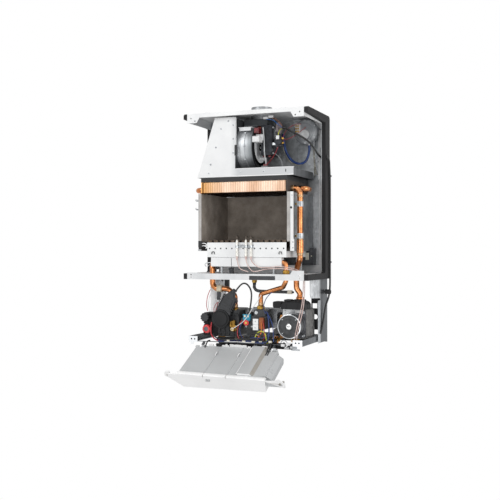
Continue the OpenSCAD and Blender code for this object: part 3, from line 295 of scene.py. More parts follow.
zinc = galvanised("hot-dip galvanised steel", "#A3A7AA", "#CBCED1", 9, (0.4, 0.56))
dress(zinc, "back_panel", "pipe_clips")
shell_zinc = galvanised("galvanised steel, heat-dulled", "#77797B", "#A9ABAD", 8, (0.42, 0.58))
dress(shell_zinc, "combustion_shell")
# Painted shade makes the rails a duller grey than the sheets above them, but their front tabs are bright.
rail_zinc = galvanised("galvanised steel, painted shade", "#54575A", "#7A7D80", 8, (0.44, 0.6))
dress(rail_zinc, "side_rails")


def mixed_in(tree, colour, share, base, other):
    """The other colour takes its share of the finish's colour"""
    mixed = add(tree, "ShaderNodeMix", {0: share.outputs[0], 6: base, 7: linear(other)}, data_type="RGBA")
    tree.links.new(mixed.outputs[2], colour)


def shaded_by_place(material, axis, start, end, other):
    """The finish turns into the other colour between two places along axis 0, 1 or 2, in millimetres"""
    tree, colour, base, place = opened(material)
    part = add(tree, "ShaderNodeSeparateXYZ", {"Vector": place})
    low, high = sorted((start, end))
    steps = {"To Min": float(start > end), "To Max": float(start < end)}
    steps.update({"From Min": low * MM, "From Max": high * MM, "Value": part.outputs[axis]})
    mixed_in(tree, colour, add(tree, "ShaderNodeMapRange", steps), base, other)


# The front tabs turn back to bright zinc where the rails' painted shade ends.
shaded_by_place(rail_zinc, 1, -246, -248, "#DADCDE")
# The hood's front is the white sheet again, with painted shade greying it along the bar under the fan.
hood_coat = finish("white coil-coated steel, hood", "#E0E1E2", "#EEEFEF", 120, (0.34, 0.46), grain=2.2,
                   depth=0.02)
shaded_by_place(hood_coat, 0, -55, -30, "#C6C8CA")
dress(hood_coat, "hood_front")
# The lower frame is bright towards the front; painted shade dulls its uprights at the wall, and painted
# light turns its left side near white.
frame_zinc = galvanised("galvanised steel of the lower frame", "#B4B7BA", "#DADCDE", 9, (0.4, 0.54))
shaded_by_place(frame_zinc, 1, -92, -70, "#5C5F62")
shaded_by_place(frame_zinc, 0, -150, -184, "#F6F6F6")
dress(frame_zinc, "rear_frame")

# Behind the open right side of the chamber the wall panel carries pressed stiffening ribs, a row of small
# embossed points beside a long slot, a gusset plate that stands forward at the top corner, three strips
# along its edge, and a terminal box of dark plastic with a pale plug. The gusset and the upper strip are
# painted bright as painted highlight, and the two lower strips paler as painted light.
box_plastic = finish("black glass-filled nylon", "#202124", "#2E3034", 14, (0.42, 0.55), grain=0.8,
                     depth=0.03)
box_grey = finish("charcoal nylon", "#3A3C40", "#515459", 16, (0.42, 0.55), grain=0.8, depth=0.03)
ivory_plastic = finish("ivory nylon", "#D6D0BE", "#EAE5D6", 12, (0.35, 0.5), grain=0.6, depth=0.01)
# Two zinc tones stand for light on the wall's right edge: a painted highlight and a paler painted light.
zinc_painted_highlight = finish("zinc-plated steel, painted highlight", "#DCDDDE", "#F4F4F4", 30, (0.34, 0.46), grain=1.4,
                     depth=0.01, Metallic=0.05)
zinc_painted_light = finish("zinc-plated steel, painted light", "#CDCFD1", "#E4E5E6", 30, (0.4, 0.5), grain=1.4, depth=0.01,
                    Metallic=0.3)
wall = bmesh.new()
for x in (96, 176):
    turned(wall, (x, -1.75, 300), UP, [(0, 0), (4, 1.7), (346, 1.7), (350, 0)], 16)
for x, z in ((150, 352), (155, 364), (161, 377), (152, 389)):
    turned(wall, (x, -1.2, z), FRONT, [(0, 3.2), (0.9, 2.8), (1.4, 1.4), (1.4, 0)], 16)
bar(wall, (146, -2, 397), (147.2, -1.1, 465), 1)
outline = ((150, 743.6), (197, 743.6), (197, 726), (192.5, 713), (179, 708), (168, 716))
corner = [wall.verts.new((x, y, z)) for y in (-9.4, -10.4) for x, z in outline]
for ring in (corner[:6], corner[6:]):
    wall.faces.new(ring).material_index = 2
for i in range(6):
    j = (i + 1) % 6
    wall.faces.new((corner[i], corner[j], corner[6 + j], corner[6 + i])).material_index = 2
bars(wall, (
    ((168, -2.8, 540), (197.6, -1.3, 706), 2), ((171, -2.6, 254), (197.6, -1.3, 539), 3),
    ((140, -2.7, 228.4), (197.6, -1.3, 253), 3),
))
for x, z in ((184, 724), (190, 736)):
    turned(wall, (x, -10.3, z), FRONT, [(0, 3), (0.5, 2.7), (0.6, 0)], 16, 2)
turned(wall, (169, -20, 226.9), UP, [(0, 4.4), (0.6, 4.2), (0.7, 3), (0.2, 2.8), (0.2, 0)], 20, 1)
piece("wall_panel_pressings", wall, [zinc, recess_dark, zinc_painted_highlight, zinc_painted_light], "chassis",
      edge=0.3)
terminal = bmesh.new()
bars(terminal, (
    ((95, -34, 253), (160, -1.4, 309)), ((97, -36, 257), (158, -33.6, 305)),
    ((135, -40, 270), (146, -35, 294), 1),
))
for z in (274, 280, 286):
    bar(terminal, (136.4, -41, z), (144.6, -39.6, z + 3), 1)
bar(terminal, (153, -37.6, 281), (157, -35.6, 285), 1)
for z in (262, 298):
    bar(terminal, (148, -37, z), (156, -35.6, z + 1.6))
piece("terminal_box", terminal, [box_grey, ivory_plastic], "chassis", edge=0.8)

# At the wall the lower frame has on its left a white-coated plate with two dark holes, which stands for
# painted light on that side, and folded ears with punched holes on its right.
gussets = bmesh.new()
bar(gussets, (170, -2.6, 30), (197, -1.4, 224))
bar(gussets, (-197, -2.8, -3), (-170, -1.4, 224), 1)
for z in (52, 118, 190):
    turned(gussets, (184, -2.4, z), FRONT, [(0, 5.2), (0.6, 5.0), (0.7, 3.2), (0.1, 3.0)], 24)
for x, z in ((-184.9, 196), (-179.5, 136), (-183, 60)):
    turned(gussets, (x, -2.7, z), FRONT, [(0, 4), (0.3, 3.8), (0.3, 3.4), (0.1, 3.2), (0.1, 0)], 24, 2)
bars(gussets, (
    ((186, -72, 108), (196.2, -70.4, 132)), ((197.6, -100, 0), (198.8, -75, 139)),
    ((146, -213, -13), (173, -209, 4)),
))
for x in (-184, -173, 173, 184):
    turned(gussets, (x, -248.4, 15), BACK, [(0, 0), (0, 3.4), (2.6, 3.4), (2.8, 2.6), (2.8, 0)], 18, 2)
piece("rear_frame_gussets", gussets, [zinc, white_coat, recess_dark], "chassis", edge=0.3)

# Black bracket and strip behind the lower right corner: steel with a matt black electrocoat.
ecoat = finish("black electrocoated steel", "#0D0D0F", "#19191C", 18, (0.45, 0.6), grain=1.2, depth=0.015)
dress(ecoat, "rear_bracket")
# The dark insert that closes the front edge of the floor is the same sheet with a greyer coat.
dress(finish("grey electrocoated steel", "#25272A", "#393B3F", 20, (0.45, 0.6), grain=1.2, depth=0.015),
      "floor_insert")

# Foam seals: strips of closed-cell polyethylene foam glued to the outside of both chamber walls, where
# the outer case presses on them. The cut cells are 1 to 2 mm wide and leave a dull, pitted skin, and the
# cut edges are soft. The right strip has a hole for the fan's cable.
foam = finish("closed-cell polyethylene foam", "#0F0F10", "#201F21", 26, (0.82, 0.95), grain=1.7, depth=0.5)


def punched(form, loops, low, high):
    """Outlines in Y and Z pushed out along X; every loop after the first is a hole"""
    ends = []
    for x in (low, high):
        rings = [[form.verts.new((x, y, z)) for y, z in loop] for loop in loops]
        pairs = [(ring[i], ring[(i + 1) % len(ring)]) for ring in rings for i in range(len(ring))]
        edges = [form.edges.new(pair) for pair in pairs]
        bmesh.ops.triangle_fill(form, use_beauty=True, edges=edges)
        ends.append(rings)
    for a, b in zip(*ends):
        for i in range(len(a)):
            j = (i + 1) % len(a)
            form.faces.new((a[i], a[j], b[j], b[i]))


strip = [(-250, 208.3), (-20, 208.3), (-18, 210.3)]
strip += arc(-30, 734, 12, range(0, 91, 15))
strip += [(-244, 746), (-250, 741), (-250, 728), (-190, 726), (-67, 720), (-67, 233), (-74, 227),
          (-250, 227)]
cable_hole = arc(-54, 607.8, 5, range(0, 360, 18))
for side, x, loops in (("left", -213, [strip]), ("right", 200, [strip, cable_hole])):
    seal_strip = bmesh.new()
    punched(seal_strip, loops, x, x + 13)
    cushion = piece("foam_strip_" + side, seal_strip, [foam], "chassis", stands_for=["foam_seals"],
                    edge=2.4)

# Flue collar: a spun aluminium spigot that the flue pipe slides over, with two lip seals of black rubber
# and four screws round its foot.
FOUR_CORNERS = (45, 135, 225, 315)
spun = finish("spun aluminium", "#75777A", "#A2A4A6", 24, (0.3, 0.45), grain=1.0, depth=0.03,
              along=(0.2, 0.2, 3), Metallic=1.0)
dress(spun, "flue_collar")
rubber = finish("black EPDM rubber", "#111112", "#1C1C1E", 10, (0.55, 0.72), grain=0.7, depth=0.03)
seal = bmesh.new()
for z in (749.5, 758.5):
    turned(seal, (12, -125, z), UP, [(0, 34.4), (0.6, 35.4), (2.6, 35.4), (3.2, 34.4)], 64)
for x, y in arc(12, -125, 39, FOUR_CORNERS):
    sheet_screw(seal, (x, y, 747), UP, 2.6, 1, 2)
piece("flue_seal_rings", seal, [rubber, screw_zinc, recess_dark], "chassis")

# Hood over the heat exchanger, which gathers the flue gas up to the fan: aluminised steel sides and back,
# with a white front that is screwed on. The aluminium skin is a soft dark grey with fine rolling lines.
aluminised = finish("aluminised steel", "#56585B", "#8A8C8F", 60, (0.42, 0.58), grain=1.6, depth=0.03,
                    along=(1, 1, 0.15), Metallic=1.0)
dress(aluminised, "hood_shell")
dress(screw_zinc, "hood_screws")
hood_fixings = bmesh.new()
for x, z in ((-62, 718), (-45, 704), (-88, 694), (-45, 660), (-106, 635), (-45, 615), (-125, 580),
             (-131, 552), (-20, 552), (60, 552)):
    sheet_screw(hood_fixings, (x, -230.2, z), FRONT, 3.3)
piece("hood_front_screws", hood_fixings, [screw_zinc, recess_dark], "chassis",
      stands_for=["hood_screws"])
# The white front's folded edges, and the black rubber strip that seals it against the fan's drum.
hood_folds = bmesh.new()
bars(hood_folds, (
    ((-39.6, -230.4, 612), (-37.6, -221, 729)), ((-38, -230.4, 562.6), (159, -221, 564.4)),
    ((-172, -230.6, 538), (159, -229, 541)), ((-40.4, -231.4, 606), (-35, -226, 640), 1),
))
piece("hood_front_folds", hood_folds, [white_coat, rubber], "chassis", edge=0.4)

# Fan: a drum of two deep-drawn steel halves, clinched along a flange, with beads rolled into its sides.
# Drawing leaves the zinc-bright skin with faint streaks round the drum. Painted shade makes it greyer
# towards the right and its right face nearly black, and darkens the outlet duct above.
drawn_steel = finish("deep-drawn zinc-bright steel", "#B7BABD", "#D6D9DB", 30, (0.4, 0.54), grain=1.5,
                     depth=0.02, along=(3, 0.4, 0.4), Metallic=0.7)
shaded_by_place(drawn_steel, 0, -20, 6, "#7E8285")
shaded_by_place(drawn_steel, 0, 9, 13, "#151618")
shaded_by_place(drawn_steel, 2, 704, 712, "#4C4F52")
dress(drawn_steel, "fan_housing")
cast_alloy = finish("die-cast aluminium", "#8A8C8F", "#B9BBBD", 8, (0.45, 0.6), grain=0.8, depth=0.05,
                    Metallic=1.0)
dress(cast_alloy, "fan_rotor")


def fan_at(x):
    """A point on the fan's axis"""
    return (x, -145, 637.8)


drum = bmesh.new()
for x, proud in ((-36, 0.9), (-27, 0.7), (-1, 0.7), (8, 0.9)):
    slope = 70 + proud * 0.7
    bead = [(0, 69.6), (0.5, slope), (1.6, 70 + proud), (2.7, slope), (3.2, 69.6)]
    turned(drum, fan_at(x - 1.6), RIGHT, bead, 96)
turned(drum, fan_at(-15.6), RIGHT, [(0, 71.6), (0.3, 72.6), (2.9, 72.6), (3.2, 71.6)], 96)
for radius in (60, 42):
    ridge = [(0, radius + 1.8), (0.9, radius + 1.0), (0.9, radius - 1.0), (0, radius - 1.8)]
    turned(drum, fan_at(14), RIGHT, ridge, 72)
for i in range(10):
    a = math.radians(18 + 36 * i)
    centre = Vector((-14, -145 + 72.8 * math.sin(a), 637.8 + 72.8 * math.cos(a)))
    turned(drum, centre - Vector((3.6, 0, 0)), RIGHT, [(0, 0), (0.4, 1.9), (6.8, 1.9), (7.2, 0)], 12)
piece("fan_drum_beads", drum, [drawn_steel], "chassis")

# White bracket that carries the fan's motor, folded from the same coated sheet as the hood's front.
bracket_white = finish("white coil-coated steel, bracket", "#D2D4D6", "#ECEDEE", 40, (0.34, 0.48),
                       grain=2.0, depth=0.02)
dress(bracket_white, "fan_bracket")

# Fan motor: a shaded-pole motor. Its core is a stack of oxidised electrical-steel stampings, with the
# field coil on a maroon phenolic bobbin and four bolts in aluminium sleeves.
core_steel = finish("oxidised electrical steel", "#1C1D20", "#3A3C42", 10, (0.4, 0.6), grain=0.9,
                    depth=0.05, Metallic=0.6)
bobbin = finish("maroon phenolic", "#470B12", "#74161F", 12, (0.3, 0.5), grain=0.7, depth=0.03)
# Enamelled copper wire 0.5 mm thick, drawn 1 mm thick so that its turns show.
enamel = finish("enamelled copper wire", "#5A1E14", "#A4502E", 3, (0.25, 0.45), grain=1.0, depth=0.2,
                along=(3, 0.3, 0.3), Metallic=0.5)
plain_label = finish("matt white film", "#D9DADB", "#F0F0F0", 5, (0.5, 0.65), grain=0.8, depth=0.01)
motor = bmesh.new()
STAMPINGS, STAMPING_STEP = 14, 2.6
for i in range(STAMPINGS):
    x = 32.2 + i * STAMPING_STEP
    bar(motor, (x, -182.5, 608.5), (x + 2.1, -107.5, 705.3))
bar(motor, (32, -179, 612), (68, -111, 702))
for y in (-174, -116):
    for z in (615, 698):
        turned(motor, (30.5, y, z), RIGHT, [(0, 2), (0, 4.4), (3, 4.4), (3, 2.6), (39, 2.6), (39, 4.4),
                                            (42, 4.2), (42, 0)], 6, 3)
turned(motor, fan_at(28), RIGHT, [(0, 4.4), (0, 25), (1, 27), (43, 27), (44, 25), (44, 4.4)], 40)
bar(motor, (19.4, -174, 670.2), (22, -116, 703.4), 1)
bar(motor, (29, -174, 670.2), (31.8, -116, 703.4), 1)
turned(motor, (19.4, -145, 686.8), RIGHT, [(0, 12), (2.6, 12.5)], 8, 1)
for i in range(6):
    x = 22.6 + i * 1.15
    bar(motor, (x, -173, 671.4), (x + 0.9, -117, 702.4), 2)
for x in (40, 58):
    bar(motor, (x - 4, -176, 602.6), (x + 4, -168, 607.8), 1)
bar(motor, (16, -204, 679), (32, -181, 695), 1)
bar(motor, (18, -205, 681), (30, -203.8, 693), 1)
piece("fan_motor_core", motor, [core_steel, bobbin, enamel, cast_alloy], "chassis",
      stands_for=["fan_motor"], edge=0.35)

# Curved pale strap that runs down the front of the coil to its foot, and the white plug beside it.
strap_grey = finish("pale grey nylon", "#A9ABAD", "#C9CBCC", 14, (0.4, 0.55), grain=0.8, depth=0.02)
strap = bmesh.new()


def eased(points, steps=4):
    """A smooth line through the points"""
    points = [Vector(p) for p in points]
    line = []
    for i in range(len(points) - 1):
        a, b, c, d = points[max(i - 1, 0)], points[i], points[i + 1], points[min(i + 2, len(points) - 1)]
        for j in range(steps):
            s = j / steps
            curve = (2 * a - 5 * b + 4 * c - d) * s * s
            line.append(0.5 * (2 * b + (c - a) * s + curve + (3 * b - a - 3 * c + d) * s**3))
    return line + [points[-1]]


def swept(form, line, radius, sides=10, paint=0, flat=1.0):
    """A round form swept along a line; flat squeezes it towards a strap"""
    last = len(line) - 1
    heads = [(line[min(i + 1, last)] - line[max(i - 1, 0)]).normalized() for i in range(last + 1)]
    side = beside(heads[0], RIGHT)
    angles = [2 * math.pi * k / sides for k in range(sides)]
    rings = []
    for point, head in zip(line, heads):
        side = (side - head * side.dot(head)).normalized()
        up = head.cross(side)
        r = radius(len(rings) / last) if callable(radius) else radius
        spots = [point + (side * math.cos(a) * flat + up * math.sin(a)) * r for a in angles]
        rings.append([form.verts.new(spot) for spot in spots])
    skinned(form, rings, paint)


def laid(form, rows, steps, sides=8):
    """Wires in rows of points, radius and paint, each point eased into the next in so many steps"""
    for points, radius, paint in rows:
        swept(form, eased(points, steps), radius, sides, paint)


line = eased([(40, -186, 698), (43, -188, 674), (44.5, -187, 648), (45, -186, 616), (47, -182, 590),
              (48.5, -180, 576)], 6)
swept(strap, line, 2.2, 8, 0, flat=0.35)
bars(strap, (
    ((14, -215, 648.6), (38, -185, 666.4), 1), ((16, -216, 650.4), (36, -214.8, 664.6), 1),
    ((18, -186, 651), (31, -160, 665)),
))
for x in (17, 31):
    bar(strap, (x, -212, 666), (x + 5, -190, 668), 1)
bars(strap, (
    ((36, -190, 571), (56, -176, 573)), ((42, -189, 573), (55, -182, 579), 2),
    ((24, -178, 562), (66, -150, 566)), ((47.5, -184, 566), (49.5, -176, 600)),
))
piece("fan_motor_strap", strap, [strap_grey, plain_label, bobbin], "chassis", edge=0.5)

# Finned cooling disc on the end of the shaft, of a pinkish-grey moulding, with a zinc plate behind it.
# Below it stands a dark round terminal body with two brass blades.
disc_grey = finish("pink-grey glass-filled polyamide", "#776C6E", "#A39699", 16, (0.4, 0.55), grain=0.8,
                   depth=0.04)
blade_brass = finish("stamped brass", "#8E6A2C", "#C9A254", 6, (0.25, 0.4), Metallic=1.0)
cooler = bmesh.new()
turned(cooler, (76, -145, 699), RIGHT, [(0, 7), (0, 19), (1, 20), (6.2, 20), (7, 18.8), (6.6, 11), (7, 5.5),
                                        (7, 0)], 48)
spokes(cooler, (82.4, -145, 699), "X", 16, (-0.4, -0.5, 6.4), (0.9, 0.5, 18))
turned(cooler, (68, -145, 692), RIGHT, [(0, 8), (9, 8)], 24, 1)
bar(cooler, (68, -156, 655), (71, -134, 701.8), 1)
bar(cooler, (82, -184, 634), (103, -172, 662), 4)
turned(cooler, (93, -190, 652), FRONT, [(-10, 13), (0.6, 13), (2.6, 10), (2.8, 3.2), (1.0, 2.8), (1.0, 0)],
       32, 4)
for z in (645, 659):
    bar(cooler, (103, -186, z - 2.6), (110, -178, z + 2.6), 2)
bar(cooler, (68, -178, 640), (84, -172, 648), 1)
bar(cooler, (62, -182, 620), (72, -174, 628), 3)
piece("fan_motor_cooling_disc", cooler, [disc_grey, screw_zinc, blade_brass, box_plastic, core_steel],
      "chassis", edge=0.3)


# Fan leads: blue, brown and yellow-green flexible wires with their terminals in white covers, which
# gather into one black sheathed cable. PVC covers are smooth and softly glossy.
def jacket(name, dark, light):
    """The finish of a wire's PVC cover"""
    return finish(name, dark, light, 22, (0.32, 0.46), grain=1.2, depth=0.01)


blue_pvc = jacket("blue PVC cover", "#1A4F92", "#2A6FC0")
brown_pvc = jacket("brown PVC cover", "#6E3318", "#97522B")
earth_pvc = jacket("yellow-green PVC cover", "#A9B32A", "#D6D63A")
black_pvc = jacket("black PVC cover", "#0E0E0F", "#1D1D1F")
leads = bmesh.new()
laid(leads, (
    ([(52, -187, 724), (60, -187, 722), (76, -188, 718), (92, -184, 704), (100.8, -172, 695.8)], 1.15, 0),
    ([(74, -188, 727), (84, -186, 722), (96, -178, 710), (101, -169, 698.8)], 1.15, 1),
    ([(93, -188, 666), (94, -189, 674), (97, -184, 686), (100.8, -170, 692.8)], 1.15, 2),
), 6)
for low, high in (((42, -190, 724), (57, -182, 730.5)), ((60, -190, 727), (75, -182, 734)),
                  ((88, -196, 656), (98, -190, 668))):
    bar(leads, low, high, 3)
piece("fan_wires", leads, [blue_pvc, brown_pvc, earth_pvc, plain_label], "chassis",
      stands_for=["fan_leads"], edge=0.5)
# Thin red sensing leads of the pressure switch, and a grey lead below the motor.
red_pvc = jacket("red PVC cover", "#8A1A20", "#B8323A")
grey_pvc = jacket("grey PVC cover", "#8D9092", "#B4B6B8")
thin = bmesh.new()
laid(thin, (
    ([(100.6, -170, 662), (108, -150, 690), (120, -110, 712), (131, -74, 719)], 0.8, 0),
    ([(101, -170, 655), (116, -130, 668), (136, -100, 690), (148, -74, 708)], 0.8, 0),
    ([(90, -180, 636), (78, -177, 612), (62, -178, 590), (52, -182, 580)], 0.8, 0),
    ([(70, -160, 616), (82, -158, 606), (92, -156, 590), (97, -155, 566)], 1.1, 1),
), 6, 6)
piece("fan_thin_leads", thin, [red_pvc, grey_pvc], "chassis")

# Air pressure switch: dished halves of smoke-grey clear polycarbonate, held by six screws and a zinc
# bracket, with an off-white boss, six brass blades and two hose spigots. Light passes partly through it.
smoke = finish("smoke-clear polycarbonate", "#8F9397", "#B9BCC0", 30, (0.12, 0.24), grain=1.0, depth=0.01,
               Transmission_Weight=0.35, IOR=1.58)
pale_disc = finish("off-white polycarbonate", "#BDBFC0", "#DADBDC", 18, (0.3, 0.42), grain=0.9, depth=0.01)
switch = bmesh.new()
turned(switch, (140, -34.4, 695), FRONT, [(0, 12), (0, 38), (2, 41), (9, 41), (10, 42), (14, 42), (15, 41),
                                          (21, 41), (24, 38), (25.6, 34)], 72)
turned(switch, (140, -60, 693), FRONT, [(-1, 34), (0, 34), (1.2, 30), (3.6, 29), (4.6, 27), (4.8, 16)], 64)
turned(switch, (140, -65, 685), FRONT, [(-1, 16), (0, 16), (1, 15), (6.6, 14.6), (8, 13), (8, 5), (7, 4),
                                        (7, 0)], 48, 1)
spokes(switch, (140, -64, 693), "Y", 12, (-0.7, -1.2, 17), (0.7, 0.6, 28))
for i in range(6):
    a = 2 * math.pi * (i + 0.5) / 6
    at = (140 + 37.5 * math.cos(a), -58.4, 695 + 37.5 * math.sin(a))
    turned(switch, at, FRONT, [(0, 2.6), (1.6, 2.4), (1.8, 0)], 16, 2)
bar(switch, (110, -72, 687), (126, -60, 721), 1)
for z in (695, 704, 713):
    bar(switch, (112, -77, z - 2.6), (116, -72, z + 2.6), 3)
    bar(switch, (119, -77, z - 2.6), (123, -72, z + 2.6), 3)
bar(switch, (118, -4.6, 665), (162, -1.2, 725), 2)
bar(switch, (134, -34, 675), (146, -4, 715), 2)
turned(switch, (151, -48, 643), UP, [(0, 0), (0, 2.6), (9, 3), (14, 3)], 20, 1)
turned(switch, (167, -48, 635), UP, [(0, 0), (0, 3.6), (8, 4), (32, 4)], 20)
piece("air_pressure_switch", switch, [smoke, pale_disc, screw_zinc, blade_brass], "chassis",
      stands_for=["pressure_switch"], edge=0.3)

# Blue silicone tube from the fan to the switch, in one hanging loop, and a clear one laid along it.
blue_silicone = finish("blue silicone rubber", "#122F66", "#22478C", 20, (0.3, 0.44), grain=1.0,
                       depth=0.015, Subsurface_Weight=0.05, Subsurface_Radius=(0.002, 0.002, 0.004))
clear_silicone = finish("clear silicone rubber", "#9C9A92", "#C2BFB4", 20, (0.2, 0.34), grain=1.0,
                        depth=0.01, Transmission_Weight=0.35, IOR=1.41)
loop = [(64, -64, 689.8), (69, -64, 653.8), (78, -62, 623.8), (96, -60, 599.8), (122, -56, 589.8),
        (143, -52, 601.8), (151, -48, 631.8), (151, -48, 650)]
tubes = bmesh.new()
swept(tubes, eased(loop, 8), 4, 20)
swept(tubes, [p + Vector((-4.6, -1.5, -5.2)) for p in eased(loop[:-2], 8)], 1.9, 12, 1)
swept(tubes, eased([(167, -48, 636), (167.5, -46, 610), (168, -40, 585), (168.5, -30, 562),
                    (168.5, -14, 556)], 6), 2.6, 12, 1)
swept(tubes, eased([(162, -40, 650), (163, -30, 610), (160, -20, 575), (158, -10, 552)], 6), 2.2, 12, 1)
piece("pressure_tubes", tubes, [blue_silicone, clear_silicone], "chassis",
      stands_for=["pressure_tube"])

# Heat exchanger: a block of thin copper fins brazed on five copper tubes, open above and below.
# The fins stand 4 mm apart, and the row is stained orange at the left, where the metal runs hotter.
# Every second fin's front lip is set back and darker as painted shade; painted shadow darkens the undersides.
fin_copper = finish("brazed copper fins", "#DDB292", "#F6DFCB", 55, (0.3, 0.42), grain=1.5, depth=0.05,
                    along=(1, 1, 0.2), Metallic=1.0)
shaded_by_place(fin_copper, 0, -70, -165, "#DBA25A")
fin_lip_painted_shade = finish("brazed copper fins, painted shade", "#C79D7F", "#E8CDB6", 55, (0.34, 0.46), grain=1.5,
                   depth=0.05, along=(1, 1, 0.2), Metallic=1.0)
shaded_by_place(fin_lip_painted_shade, 0, -70, -165, "#BE8640")
# Painted shadow darkens the fins' undersides.
for skin in (fin_copper, fin_lip_painted_shade):
    shaded_by_place(skin, 2, 489.6, 487.4, "#2E140C")
# The right end plate is painted dark as painted shade.
end_plate_painted_shade = finish("end plate, painted shade", "#2A2522", "#4A413B", 20, (0.6, 0.8), grain=2.0, depth=0.05)
fins = bmesh.new()
FIN_STEP = 4
for i in range(-35, 36):
    x = -10 + i * FIN_STEP
    odd = i % 2
    bar(fins, (x - 0.35, -231, 486.4), (x + 0.35, -30, 522.8))
    bar(fins, (x - 0.35, -231.6 + 0.5 * odd, 488), (x + 2.9, -230.9, 521), 2 * odd)
for y in (-200, -164, -130, -96, -60):
    turned(fins, (-158, y, 497), RIGHT, [(0, 7), (296, 7)], 24)
bar(fins, (-159, -230, 486), (-155, -30, 523))
bar(fins, (135, -230, 486), (139, -30, 523), 1)
piece("exchanger_fin_block", fins, [fin_copper, end_plate_painted_shade, fin_lip_painted_shade], "chassis",
      stands_for=["exchanger_fins"])

# The black collar between the fins and the hood is heat-proof silicone sealant over a sheet ring.
sealant = finish("black heat-proof silicone", "#0B0B0C", "#1B1B1D", 12, (0.5, 0.7), grain=2.5, depth=0.2)
dress(sealant, "exchanger_collar")

# Copper pipes: drawn tube of 18 and 15 mm, bent cold and joined by brazed sockets. Handling and the heat
# of brazing leave a warm brown bloom over the bright metal, deeper round the joints, with fine draw lines.
copper = finish("drawn copper tube", "#A25F33", "#DB9A69", 34, (0.16, 0.3), grain=1.6, depth=0.03,
                along=(1, 1, 0.5), spread=0.2, Metallic=1.0)
tree, colour, base, place = opened(copper)
spots = add(tree, "ShaderNodeTexNoise", {"Vector": place, "Scale": 1 / (7 * MM), "Detail": 3.0})
limits = {"From Min": 0.52, "From Max": 0.72, "To Min": 0.0, "To Max": 0.55}
bloom = add(tree, "ShaderNodeMapRange", {"Value": spots.outputs["Fac"], **limits})
mixed_in(tree, colour, bloom, base, "#7A3E20")
solder = finish("silver brazing alloy", "#8C6B4C", "#C7A27C", 4, (0.3, 0.5), grain=1.2, depth=0.12,
                Metallic=1.0)


def bent(points, radius):
    """A line through the points whose corners are arcs of the pipe's bend radius"""
    points = [Vector(p) for p in points]
    line = [points[0]]
    for a, b, c in zip(points, points[1:], points[2:]):
        u, v = (b - a).normalized(), (c - b).normalized()
        turn = u.angle(v)
        if turn < 0.02:
            line.append(b)
            continue
        start = b - u * radius * math.tan(turn / 2)
        inward = (v - u * u.dot(v)).normalized()
        centre = start + inward * radius
        for i in range(11):
            s = turn * i / 10
            line.append(centre + (u * math.sin(s) - inward * math.cos(s)) * radius)
    return line + [points[-1]]


def joint_ring(form, at, axis, radius):
    """The swollen ring of solder round a brazed socket, 10 mm long"""
    axis = Vector(axis).normalized()
    swell = ((0, -0.3), (0.8, 0.7), (4, 1.0), (6, 1.0), (9.2, 0.7), (10, -0.3))
    turned(form, Vector(at) - axis * 5, axis, [(h, radius + r) for h, r in swell], 28, 1)


BENDS_Z, PIPES_Z = 500, 499
bends = bmesh.new()
swept(bends, bent([(139, -146, BENDS_Z), (172, -146, BENDS_Z), (172, -98, BENDS_Z), (139, -98, BENDS_Z)],
                  18), 9, 24)
swept(bends, bent([(-159, -94, BENDS_Z), (-184, -94, BENDS_Z), (-184, -54, BENDS_Z), (-159, -54, BENDS_Z)],
                  16), 9, 24)
for x, y in ((142, -146), (142, -98), (-162, -94), (-162, -54)):
    joint_ring(bends, (x, y, BENDS_Z), RIGHT, 9)
piece("exchanger_return_bends", bends, [copper, solder], "chassis",
      stands_for=["exchanger_bends"])

flow = bmesh.new()
route = bent([(139, -190, PIPES_Z), (167, -190, PIPES_Z), (167, -190, 275), (149, -174, 237),
              (148.4, -170, 181), (159, -166, 165), (159, -166, 146)], 20)
swept(flow, route, 9, 28)
turned(flow, (167, -190, 293), UP, [(0, 9.4), (1, 11.4), (41, 11.4), (42, 9.4)])
for at, axis in (((143, -190, PIPES_Z), RIGHT), ((167, -190, 474), UP), ((167, -190, 336), UP),
                 ((167, -190, 290), UP), ((148.8, -171, 214), UP)):
    joint_ring(flow, at, axis, 9 if at[2] != 290 else 9.4)
turned(flow, (159, -166, 146), UP, [(0, 12), (1, 13), (6, 13), (8, 10.5), (12, 9.8)])
piece("heating_flow_pipe", flow, [copper, solder], "chassis", stands_for=["flow_pipe"])

back = bmesh.new()
route = [(-159, -208, PIPES_Z), (-186, -208, PIPES_Z), (-186, -150, PIPES_Z), (-186, -150, 344),
         (-186, -60, 304), (-186, -60, 259)]
route += [(-132, -200, 259), (-132, -200, 178), (-76, -200, 176), (-54, -195, 155), (-54, -195, 112)]
swept(back, bent(route, 20), 9, 28)
for at, axis in (((-163, -208, PIPES_Z), RIGHT), ((-186, -150, 460), UP), ((-132, -200, 216), UP),
                 ((-54, -195, 122), UP)):
    joint_ring(back, at, axis, 9)
piece("heating_return_pipe", back, [copper, solder], "chassis", stands_for=["return_pipe"])

gas = bmesh.new()
swept(gas, bent([(119, -218, 264), (130, -218, 264), (130, -218, 205), (116, -206, 185), (38, -200, 162),
                 (38, -200, 113)], 10), 7.5, 24)
joint_ring(gas, (38, -200, 131), UP, 7.5)
piece("gas_pipe_run", gas, [copper, solder], "chassis", stands_for=["gas_pipe"])

tails = bmesh.new()
# Five service tails stand in a row; the second and the fourth are the narrow ones.
TAIL_STEP = 65
for i in range(-2, 3):
    r = 7.5 if abs(i) == 1 else 9
    turned(tails, (i * TAIL_STEP, -130, -20), UP, [(0, r - 1), (0, r - 0.4), (0.5, r), (24, r),
                                                   (24, r - 0.5), (42, r - 0.5)])
    turned(tails, (i * TAIL_STEP, -130, -20.02), UP, [(0, r - 1.1), (0.04, 0)], 32, 1)
piece("service_tails", tails, [copper, recess_dark], "chassis", stands_for=["service_pipes"])

